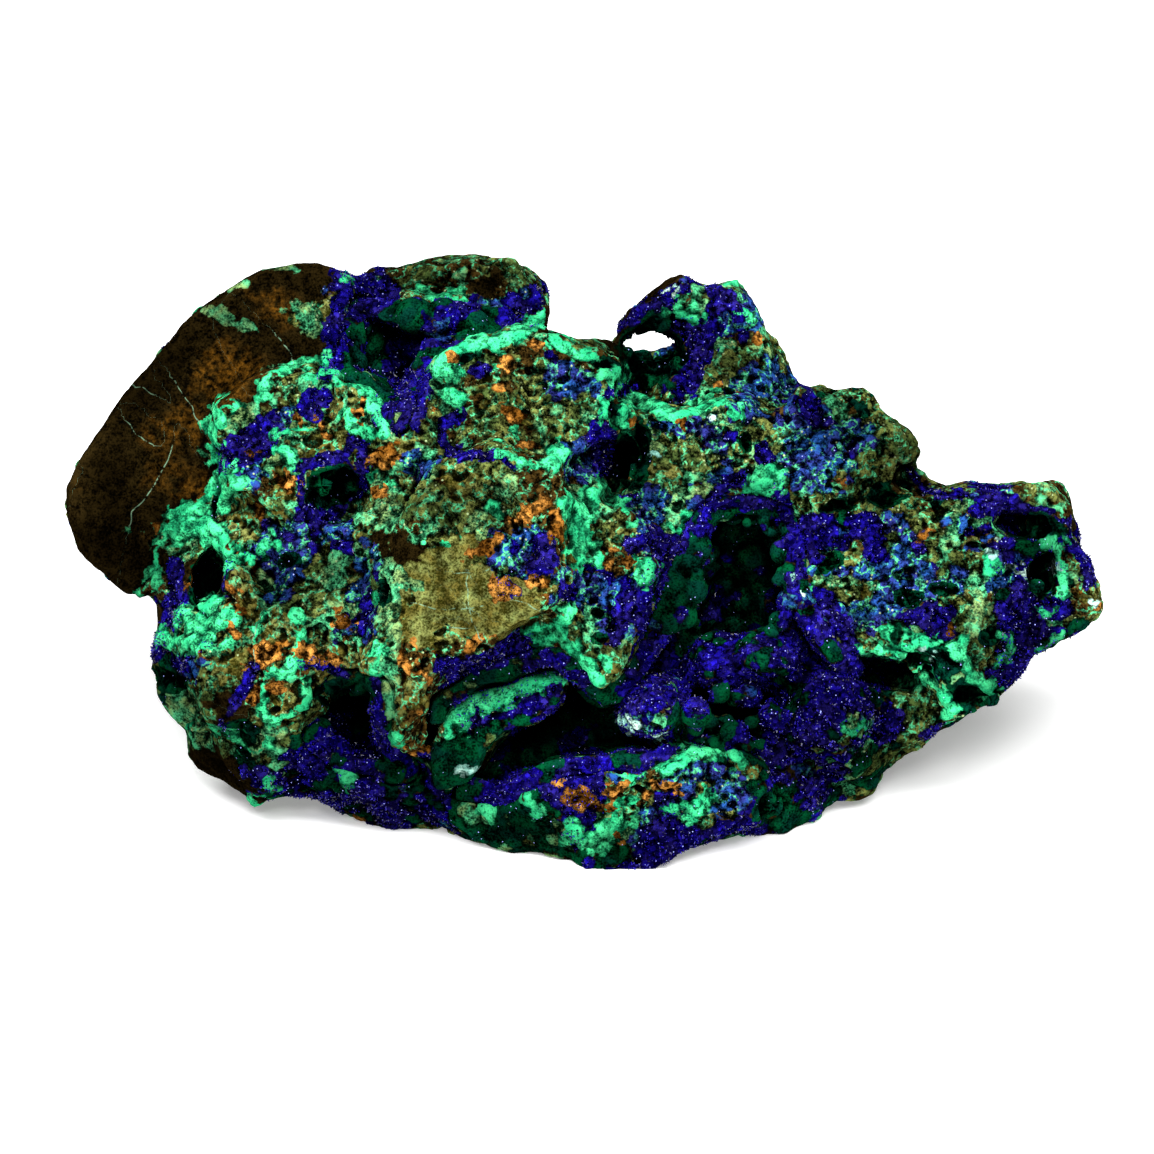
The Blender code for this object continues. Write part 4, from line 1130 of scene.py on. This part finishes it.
def lining(name, node, balls, rim_balls, sink, most, seed):
    """The crust of one hollow with balls grown on it."""
    crust = merged_copy(name, node)
    seat = sight_tree([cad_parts[node]])
    moved_out(crust, np.full(len(crust.data.vertices), GROWTH))
    local = random.Random(seed)
    spots = with_smaller(balls, local)
    rounded_in(crust, spots, seat, sink)
    rounded_in(crust, with_smaller(rim_balls, local), solids_tree, RIM_SINK, RIM_REACH)
    fused(crust, lining_grain)
    survey = surveyed(crust.data, HOLLOW_MIX, HOLLOW_LABELS)
    calm_spots = [(u, v, radius, radius, 0) for u, v, radius in spots]
    grainy(crust, survey, (), calm_spots, swelling=0.0, strength=0.6)
    painted(crust, survey, leave_out=("mint", "ochre", "steel", "orange"))
    return thinned(crust, most)


print("a hollow's hidden places have", len(HOLLOW_MIX), "mixtures")

# %% The three linings
all_main_balls = MAIN_BALLS + MAIN_AZURITE_BALLS
linings = [
    lining("main_lining", "main_vug_crust", all_main_balls, RIM_BALLS, sink=0.5, most=110000, seed=300),
    lining("top_lining", "top_vug_crust", TOP_BALLS, [], sink=0.15, most=60000, seed=400),
    lining("lower_lining", "lower_vug_crust", LOWER_BALLS, [], sink=0.5, most=40000, seed=500),
]
for crust in linings:
    print(crust.name, sum(len(face.vertices) - 2 for face in crust.data.polygons), "triangles")

# %% [markdown]
# ## Azurite crystals
# Azurite grows as tiny blades with slanting tips, and thousands of them make the blue parts glitter. Each
# is a cone with few sides that stands on the skin and leans at random. They are placed where the blue
# mask is high, never closer than their own width.

# %% Crystals on the blue parts
BLADE_WIDTH = 0.32
BLADE_SPACING = 0.45
THICK_ENOUGH = 0.6
FACING_ENOUGH = -0.3
AT_ONCE = 150


def druse(name, hosts, channel, most, seed):
    """Small crystals joined into one object, on the hosts' skin where a mineral is thick."""
    luck = np.random.default_rng(seed)
    taken = set()
    spots = []
    for host in hosts:
        mesh = host.data
        places = places_of(mesh)
        normals = normals_of(mesh)
        values = np.empty(len(mesh.vertices) * 4, np.float32)
        mesh.attributes[channel[0]].data.foreach_get("color", values)
        amount = values.reshape(-1, 4)[:, channel[1]]
        facing = normals @ np.array(OUT)
        rows = np.flatnonzero((amount > THICK_ENOUGH) & (facing > FACING_ENOUGH))
        luck.shuffle(rows)
        for row in rows:
            key = tuple(np.round(places[row] / (BLADE_SPACING * MM)).astype(int))
            if key not in taken:
                taken.add(key)
                spots.append((places[row], normals[row]))
    luck.shuffle(spots)
    spots = spots[:most]
    crystals = shown(name, bpy.data.meshes.new(name))
    for start in range(0, len(spots), AT_ONCE):
        shape = bmesh.new()
        for place, normal in spots[start:start + AT_ONCE]:
            lean = Vector(normal) + Vector(luck.normal(0, 0.45, 3))
            turn = lean.to_track_quat("Z", "Y").to_matrix().to_4x4()
            spin = Matrix.Rotation(luck.uniform(0, math.tau), 4, "Z")
            wide = BLADE_WIDTH * luck.uniform(0.6, 1.3) * MM
            tall = wide * luck.uniform(0.8, 1.6)
            stretch = Matrix.Diagonal((1, luck.uniform(0.45, 0.9), 1, 1))
            lift = Matrix.Translation((0, 0, tall * 0.1))
            bmesh.ops.create_cone(
                shape, cap_ends=True, segments=4, radius1=wide * 0.5, radius2=wide * luck.uniform(0.1, 0.3),
                depth=tall, matrix=Matrix.Translation(Vector(place)) @ turn @ spin @ stretch @ lift)
        added(crystals, shape)
    print(name, len(spots), "crystals")
    return set_down(crystals)


crystal_share = 1.0
rock_druse = druse("rock_druse", slices, ("blue", 0), most=int(10500 * crystal_share), seed=21)
hollow_druse = druse("hollow_druse", linings, ("blue", 0), most=int(8500 * crystal_share), seed=22)

# %% [markdown]
# ## Materials
# One group of nodes does the repeated work: it lays one mineral over what lies below, wherever its amount
# passes one half, and takes a tone between its deep and its bright colour. The material calls the group
# once for every mineral, from the brown rock up to the pale specks.

# %% Colours and single nodes


def linear(code):
    """A web colour as linear values for a shader."""
    parts = [int(code[index:index + 2], 16) / 255 for index in (1, 3, 5)]
    curved = [part / 12.92 if part <= 0.04045 else ((part + 0.055) / 1.055) ** 2.4 for part in parts]
    return tuple(curved) + (1,)


def node(tree, kind, inputs=None, **settings):
    """A node with its settings, its inputs linked to sockets or set to values."""
    made = tree.nodes.new(kind)
    for key, value in settings.items():
        setattr(made, key, value)
    for key, value in (inputs or {}).items():
        if isinstance(value, bpy.types.NodeSocket):
            tree.links.new(value, made.inputs[key])
        else:
            made.inputs[key].default_value = value
    return made


def math_node(tree, operation, first, second=0.0, third=0.0, clamp=False):
    """The result of one sum."""
    inputs = {0: first, 1: second, 2: third}
    return node(tree, "ShaderNodeMath", inputs, operation=operation, use_clamp=clamp).outputs[0]


def product(tree, first, second):
    """Two values multiplied."""
    return math_node(tree, "MULTIPLY", first, second)


def vector_node(tree, operation, inputs):
    """The result of one sum of colours or directions."""
    return node(tree, "ShaderNodeVectorMath", inputs, operation=operation).outputs[0]


def mixed(tree, factor, below, above):
    """A colour between two others."""
    made = node(tree, "ShaderNodeMix", {0: factor, 6: below, 7: above}, data_type="RGBA")
    return made.outputs[2]


def mapped(tree, value, low, high, start=0.0, end=1.0):
    """The value stretched from one range to another, and held at its ends."""
    return node(tree, "ShaderNodeMapRange", {0: value, 1: low, 2: high, 3: start, 4: end}).outputs[0]


def weighed(tree, start, *parts):
    """A start value plus each value times its weight, held between 0 and 1."""
    total = start
    for value, weight in parts:
        total = math_node(tree, "MULTIPLY_ADD", value, weight, total)
    return math_node(tree, "ADD", total, 0.0, clamp=True)


print("a middle grey in linear values:", round(linear("#808080")[0], 3))

# %% The group that lays one mineral over another


def new_group(name, inputs, outputs):
    """An empty node group with its sockets."""
    group = bpy.data.node_groups.new(name, "ShaderNodeTree")
    for label, kind in inputs:
        group.interface.new_socket(label, in_out="INPUT", socket_type="NodeSocket" + kind)
    for label, kind in outputs:
        group.interface.new_socket(label, in_out="OUTPUT", socket_type="NodeSocket" + kind)
    return group, group.nodes.new("NodeGroupInput"), group.nodes.new("NodeGroupOutput")


layer_group, taken_in, given_out = new_group(
    "mineral layer",
    [("Below", "Color"), ("Below Roughness", "Float"), ("Deep", "Color"), ("Bright", "Color"),
     ("Roughness", "Float"), ("Tone", "Float"), ("Amount", "Float"), ("Fray", "Float")],
    [("Color", "Color"), ("Roughness", "Float"), ("Mask", "Float")])
frayed = math_node(layer_group, "MULTIPLY_ADD", taken_in.outputs["Fray"], 0.4, taken_in.outputs["Amount"])
rim = mapped(layer_group, frayed, 0.46, 0.75, 0.35, 1.0)
rimmed = product(layer_group, taken_in.outputs["Tone"], rim)
edge = node(layer_group, "ShaderNodeMapRange", {0: frayed, 1: 0.44, 2: 0.52}, interpolation_type="SMOOTHSTEP")
tone = mixed(layer_group, rimmed, taken_in.outputs["Deep"], taken_in.outputs["Bright"])
cover = mixed(layer_group, edge.outputs[0], taken_in.outputs["Below"], tone)
matte = node(layer_group, "ShaderNodeMix",
             {0: edge.outputs[0], 2: taken_in.outputs["Below Roughness"], 3: taken_in.outputs["Roughness"]})
layer_group.links.new(cover, given_out.inputs["Color"])
layer_group.links.new(matte.outputs[0], given_out.inputs["Roughness"])
layer_group.links.new(edge.outputs[0], given_out.inputs["Mask"])
print("the group has", len(layer_group.nodes), "nodes")

# %% [markdown]
# ## What the material reads
# Two kinds of values meet in the material: those kept at the points, which say where a mineral is, and
# textures on Object coordinates, which are finer than the points and say how it looks there. Noise of
# a few sizes is enough, from patches of a centimetre down to specks of a third of a millimetre. Facets
# come from a Voronoi texture, because each of its cells has a colour of its own, as each crystal has.

# %% Values at the points, and textures: bumps to the metre, detail and shift
NOISES = {
    "broad": (90.0, 4.0, 0.0),
    "patch": (480.0, 3.0, 0.0),
    "fine": (1300.0, 2.0, 0.0),
    "speck": (3300.0, 2.0, 0.0),
    "hue": (330.0, 5.0, 0.9),
    "web": (560.0, 3.0, 0.3),
    "gap": (1000.0, 2.0, 0.7),
}
FACETS_PER_METRE = 1900.0


def point_values(tree):
    """The values kept at the points, by name, and the three channels of each colour attribute."""
    values = {}
    for label in ("green", "blue", "earth", "grain"):
        read = node(tree, "ShaderNodeAttribute", attribute_name=label)
        split = node(tree, "ShaderNodeSeparateColor", {0: read.outputs["Color"]})
        values[label] = [split.outputs[0], split.outputs[1], split.outputs[2]]
    for label in ("crust", "vein"):
        values[label] = node(tree, "ShaderNodeAttribute", attribute_name=label).outputs["Fac"]
    values["own"], values["sunk"], rust_and_shade = values["grain"]
    # Above one half the channel is rust, below one half it is painted shade
    values["glow"] = math_node(tree, "MULTIPLY_ADD", rust_and_shade, 2.0, -1.0, clamp=True)
    values["gloom"] = math_node(tree, "MULTIPLY_ADD", rust_and_shade, -2.0, 1.0, clamp=True)
    return values


def textures(tree):
    """Noise of each size, around one half, and the facets of small crystals."""
    position = node(tree, "ShaderNodeTexCoord").outputs["Object"]
    made = {}
    for label, (per_metre, detail, shift) in NOISES.items():
        place = position
        if shift:
            place = node(tree, "ShaderNodeMapping", {0: position, 1: (shift, shift, 0)}).outputs[0]
        inputs = {"Vector": place, "Scale": per_metre, "Detail": detail}
        made[label] = node(tree, "ShaderNodeTexNoise", inputs).outputs[0]
    facets = node(tree, "ShaderNodeTexVoronoi", {"Vector": position, "Scale": FACETS_PER_METRE})
    split = node(tree, "ShaderNodeSeparateColor", {0: facets.outputs["Color"]})
    made["facet tone"], made["facet luck"], made["facet kind"] = split.outputs[:3]
    made["facet color"] = facets.outputs["Color"]
    made["facet middle"] = facets.outputs["Distance"]
    return made


print(len(NOISES), "sizes of noise and facets", round(1000 / FACETS_PER_METRE, 2), "mm wide")

# %% [markdown]
# ## Minerals over brown rock
# The order of the layers is the order in which the minerals grew. Limonite is the rock itself. Earthy
# crusts and steel blue lie on it, and a fine lace of green runs through them. Dark malachite, azurite
# and pale malachite come next, and rust and chalky specks are the last. Each mineral has a deep colour
# for its shaded grains and two bright ones, because no grain is quite like the next.

# %% Colours: attribute, channel, deep colour, bright colour, another bright colour and roughness
EARLY_LAYERS = [
    ("earth", 0, "#0b1006", "#767e44", "#4e6234", 0.7),
    ("earth", 1, "#34340e", "#80864e", "#706832", 0.75),
    ("green", 1, "#0b3420", "#56b882", "#86a468", 0.6),
    ("blue", 1, "#010214", "#2a5698", "#363c88", 0.5),
]
LATE_LAYERS = [
    ("green", 2, "#000502", "#054f2e", "#073a2e", 0.5),
    ("blue", 0, "#010008", "#281cb4", "#3a309a", 0.3),
    ("green", 0, "#0c5c3e", "#54de98", "#32b87e", 0.45),
    ("earth", 2, "#2c1604", "#cc9248", "#82561f", 0.6),
    ("blue", 2, "#2c5a50", "#cfeee0", "#9ad4c4", 0.4),
]
BROWN = {"deep": "#040301", "warm": "#0e0a04", "worn": "#322812", "crust": "#5a4520", "rust": "#855a1a"}
ROCK_ROUGHNESS = 0.72


def brown_rock(tree, kept, made, tone):
    """Dark limonite, lighter where its tone is high, partly random wear and partly painted light on raised
    places, and rusty in the rust patches.
    """
    color = mixed(tree, mapped(tree, made["broad"], 0.35, 0.7), linear(BROWN["deep"]), linear(BROWN["warm"]))
    color = mixed(tree, product(tree, tone, 0.6), color, linear(BROWN["worn"]))
    color = mixed(tree, product(tree, kept["crust"], tone), color, linear(BROWN["crust"]))
    spots = mapped(tree, made["fine"], 0.35, 0.7)
    spots = product(tree, spots, mapped(tree, made["speck"], 0.25, 0.7, 0.3, 1.0))
    glowing = product(tree, kept["glow"], mapped(tree, made["patch"], 0.35, 0.55))
    return mixed(tree, product(tree, spots, glowing), color, linear(BROWN["rust"]))


def laid_over(tree, color, rough, layers, kept, tones, hue, fray):
    """The colour and roughness with some minerals laid over them, and each mineral's mask."""
    masks = {}
    for label, channel, deep, bright, other, matte in layers:
        layer = node(tree, "ShaderNodeGroup", node_tree=layer_group)
        values = {"Below": color, "Below Roughness": rough, "Deep": linear(deep),
                  "Bright": mixed(tree, hue, linear(bright), linear(other)), "Roughness": matte,
                  "Tone": tones.get((label, channel), tones["grains"]),
                  "Amount": kept[label][channel], "Fray": fray}
        for key, value in values.items():
            if isinstance(value, bpy.types.NodeSocket):
                tree.links.new(value, layer.inputs[key])
            else:
                layer.inputs[key].default_value = value
        color = layer.outputs["Color"]
        rough = layer.outputs["Roughness"]
        masks[label, channel] = layer.outputs["Mask"]
    return color, rough, masks


print(len(EARLY_LAYERS) + len(LATE_LAYERS), "minerals over the brown rock")

# %% [markdown]
# ## Lace, sparkle and shade
# Thin walls of green between the grains look like lace: they are the places where a noise crosses its
# middle value. Crystal faces that catch the lamp are painted as small glinting dots, each in its own
# facet. Deep places and drawn dark zones get painted shade from the values kept at the points, because
# a lamp alone leaves them too bright.

# %% Lace, painted glints on crystal faces, and painted shade in dark places


def laced(tree, color, kept, made, tone):
    """The colour with a lace of green and pale flecks in the rough crust."""
    rough_crust = mapped(tree, kept["crust"], 0.1, 0.6)
    web = math_node(tree, "ABSOLUTE", math_node(tree, "SUBTRACT", made["web"], 0.5))
    web = product(tree, mapped(tree, web, 0.02, 0.05, 1.0, 0.0), rough_crust)
    web = product(tree, web, mapped(tree, made["patch"], 0.42, 0.55))
    color = mixed(tree, web, color, mixed(tree, tone, linear("#0a3222"), linear("#5cc48c")))
    fleck = math_node(tree, "LESS_THAN", made["facet kind"], product(tree, rough_crust, 0.07))
    fleck = product(tree, fleck, mapped(tree, made["facet middle"], 0.2, 0.4, 1.0, 0.0))
    return mixed(tree, fleck, color, linear("#a9bd8c"))


def painted_glint_mask(tree, made, blue, masks):
    """Painted glints: small dots on some facets of azurite, and on fewer of malachite."""
    dot = mapped(tree, made["facet middle"], 0.09, 0.21, 1.0, 0.0)
    share = weighed(tree, 0.0, (blue, 0.24), (masks["green", 2], 0.1), (masks["blue", 1], 0.06))
    share = product(tree, share, mapped(tree, made["patch"], 0.4, 0.6, 0.3, 1.5))
    return product(tree, dot, math_node(tree, "LESS_THAN", made["facet luck"], share))


def shaded(tree, color, kept, gap):
    """Painted shade: the colour darkened in deep places, in gaps between grains and in the drawn shade zones,
    with painted light making raised places a little lighter.
    """
    shade = mapped(tree, kept["sunk"], 0.25, 0.85, 1.2, 0.16)
    shade = product(tree, shade, mapped(tree, gap, 0.0, 1.0, 1.0, 0.15))
    shade = product(tree, shade, mapped(tree, kept["gloom"], 0.0, 1.0, 1.0, 0.36))
    color = vector_node(tree, "SCALE", {0: color, "Scale": shade})
    return node(tree, "ShaderNodeGamma", {0: color, 1: 1.12}).outputs[0]


def uneven_normal(tree, made, blue, gap):
    """A normal with fine lumps everywhere and slanting facets on azurite."""
    relief = weighed(tree, 0.0, (made["speck"], 0.4), (made["fine"], 0.5), (gap, -0.3))
    bumped = node(tree, "ShaderNodeBump", {"Height": relief, "Strength": 0.9, "Distance": 0.0006}).outputs[0]
    tilt = vector_node(tree, "SUBTRACT", {0: made["facet color"], 1: (0.5, 0.5, 0.5)})
    tilt = vector_node(tree, "SCALE", {0: tilt, "Scale": product(tree, blue, 1.2)})
    return vector_node(tree, "NORMALIZE", {0: vector_node(tree, "ADD", {0: bumped, 1: tilt})})


print("lace, sparkle and shade ready")

# %% The material of the rock and its crusts


def empty_material(name):
    """A material with no nodes, and its tree."""
    material = bpy.data.materials.new(name)
    material.use_nodes = True
    material.node_tree.nodes.clear()
    return material, material.node_tree


def mineral_material(name):
    """Brown rock with every mineral laid over it in turn."""
    material, tree = empty_material(name)
    kept = point_values(tree)
    made = textures(tree)
    patch, fine, speck = made["patch"], made["fine"], made["speck"]
    fray = math_node(tree, "ADD", math_node(tree, "MULTIPLY_ADD", patch, 1.0, -0.5),
                     math_node(tree, "MULTIPLY_ADD", fine, 1.0, -0.5))
    # The tone is partly random and partly painted shade: lower where a point lies sunk, higher on raised
    # places
    tone = weighed(tree, -1.7, (speck, 3.0), (fine, 1.6), (kept["own"], 0.4), (kept["sunk"], -0.9),
                   (patch, 0.4))
    tone = math_node(tree, "POWER", tone, 1.2)
    hue = mapped(tree, made["hue"], 0.42, 0.58)
    facet_tone = weighed(tree, 0.0, (math_node(tree, "POWER", made["facet tone"], 2.6), 0.9), (tone, 0.25))
    facet_tone = product(tree, facet_tone, mapped(tree, patch, 0.36, 0.62, 0.45, 1.15))
    tones = {"grains": tone, ("blue", 0): facet_tone}
    color = brown_rock(tree, kept, made, tone)
    color, rough, masks = laid_over(tree, color, ROCK_ROUGHNESS, EARLY_LAYERS, kept, tones, hue, fray)
    color = laced(tree, color, kept, made, tone)
    color, rough, late_masks = laid_over(tree, color, rough, LATE_LAYERS, kept, tones, hue, fray)
    masks.update(late_masks)
    blue = math_node(tree, "SUBTRACT", masks["blue", 0], masks["green", 0], clamp=True)
    thread = mapped(tree, math_node(tree, "ABSOLUTE", kept["vein"]), 0.04, 0.11, 1.0, 0.0)
    thread = product(tree, thread, mapped(tree, fine, 0.4, 0.52))
    color = mixed(tree, thread, color, linear("#7a9a7e"))
    # Painted shade in the small gaps between the grains of rough crust
    gap = product(tree, mapped(tree, made["gap"], 0.38, 0.45, 1.0, 0.0), kept["crust"])
    color = shaded(tree, color, kept, gap)
    # Painted glints in pale blue, laid over the shaded colour
    color = mixed(tree, painted_glint_mask(tree, made, blue, masks), color, linear("#a4aeff"))
    inputs = {"Base Color": color, "Roughness": rough, "Normal": uneven_normal(tree, made, blue, gap)}
    surface = node(tree, "ShaderNodeBsdfPrincipled", inputs)
    surface.inputs["Specular IOR Level"].default_value = 0.0
    node(tree, "ShaderNodeOutputMaterial", {"Surface": surface.outputs[0]})
    print(name, "has", len(tree.nodes), "nodes")
    return material


rock_minerals = mineral_material("rock minerals")
crust_minerals = mineral_material("crust minerals")

# %% [markdown]
# ## Crystals, and the pieces dressed
# The small crystals need no map: each is blue all over and only its tone changes. They keep flat faces
# and a glassy skin, so that some of them catch the lamp. Then every piece gets its material, the body
# that it rides on and its shading, and the plain solids that the pieces replace are hidden.

# %% The material of the crystals, and the pieces dressed


def crystal_material(name, deep, bright):
    """Glassy blue with a tone that changes from crystal to crystal."""
    material, tree = empty_material(name)
    position = node(tree, "ShaderNodeTexCoord").outputs["Object"]
    cells = node(tree, "ShaderNodeTexVoronoi", {"Vector": position, "Scale": 1500.0})
    split = node(tree, "ShaderNodeSeparateColor", {0: cells.outputs["Color"]})
    tone = math_node(tree, "POWER", split.outputs[0], 1.8)
    color = mixed(tree, tone, linear(deep), linear(bright))
    surface = node(tree, "ShaderNodeBsdfPrincipled", {"Base Color": color, "Roughness": 0.2})
    surface.inputs["Specular IOR Level"].default_value = 0.3
    node(tree, "ShaderNodeOutputMaterial", {"Surface": surface.outputs[0]})
    return material


def dressed(thing, material, smooth=True):
    """The thing with its material, its place in the frame and its shading."""
    thing.data.materials.clear()
    thing.data.materials.append(material)
    thing.data.polygons.foreach_set("use_smooth", [smooth] * len(thing.data.polygons))
    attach(thing, "root")
    return thing


azurite = crystal_material("azurite crystals", "#02000e", "#1a0f96")
for part in slices:
    dressed(part, rock_minerals)
    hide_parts("matrix")
for crust, replaced in zip(linings, ("main_vug_crust", "top_vug_crust", "lower_vug_crust")):
    dressed(crust, crust_minerals)
    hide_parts(replaced)
dressed(rock_druse, azurite, smooth=False)
dressed(hollow_druse, azurite, smooth=False)
print(len(slices) + len(linings) + 2, "pieces dressed")

# %% [markdown]
# ## The stage
# The photograph was taken in soft light from above on plain white. A wide lamp above and in front and a
# weak one near the camera give the same bright lips and, with the painted shade of the drawn zones, the
# dark lower edges. The pale floor shines a little by itself, like a light table, which keeps the shadow
# under the rock weak, as it is in the photograph.

# %% Floor and lamps
FLOOR_SHINE = 0.3
AIR_SHINE = 0.06


def floor_material():
    """Plain pale paper, lit a little from below as on a light table."""
    material = bpy.data.materials.new("paper")
    material.use_nodes = True
    surface = material.node_tree.nodes["Principled BSDF"]
    surface.inputs["Base Color"].default_value = (0.9, 0.9, 0.9, 1)
    surface.inputs["Roughness"].default_value = 0.9
    surface.inputs["Emission Color"].default_value = (1, 1, 1, 1)
    surface.inputs["Emission Strength"].default_value = FLOOR_SHINE
    return material


def lamp(name, place, width, depth, watts):
    """A wide soft lamp that shines at the middle of the face."""
    data = bpy.data.lights.new(name, "AREA")
    data.shape = "RECTANGLE"
    data.size = width
    data.size_y = depth
    data.energy = watts
    made = bpy.data.objects.new(name, data)
    made.location = place
    made.rotation_euler = (FACE_MIDDLE - Vector(place)).to_track_quat("-Z", "Y").to_euler()
    bpy.context.scene.collection.objects.link(made)
    return made


shape = bmesh.new()
bmesh.ops.create_grid(shape, x_segments=1, y_segments=1, size=4.0)
paper = bpy.data.meshes.new("floor")
shape.to_mesh(paper)
shape.free()
floor = shown("floor", paper)
floor.data.materials.append(floor_material())
key = lamp("key", FACE_MIDDLE + Vector((-0.1, -0.45, 1.2)), width=2.2, depth=0.6, watts=52)
fill = lamp("fill", FACE_MIDDLE + OUT * 1.3 + UP_FACE * 0.35, width=0.3, depth=0.3, watts=6)
world = bpy.data.worlds.new("air")
world.use_nodes = True
world.node_tree.nodes["Background"].inputs["Color"].default_value = (1, 1, 1, 1)
world.node_tree.nodes["Background"].inputs["Strength"].default_value = AIR_SHINE
bpy.context.scene.world = world
bpy.context.scene.view_settings.view_transform = "Standard"
print("lamps:", key.name, key.data.energy, "W and", fill.name, fill.data.energy, "W")
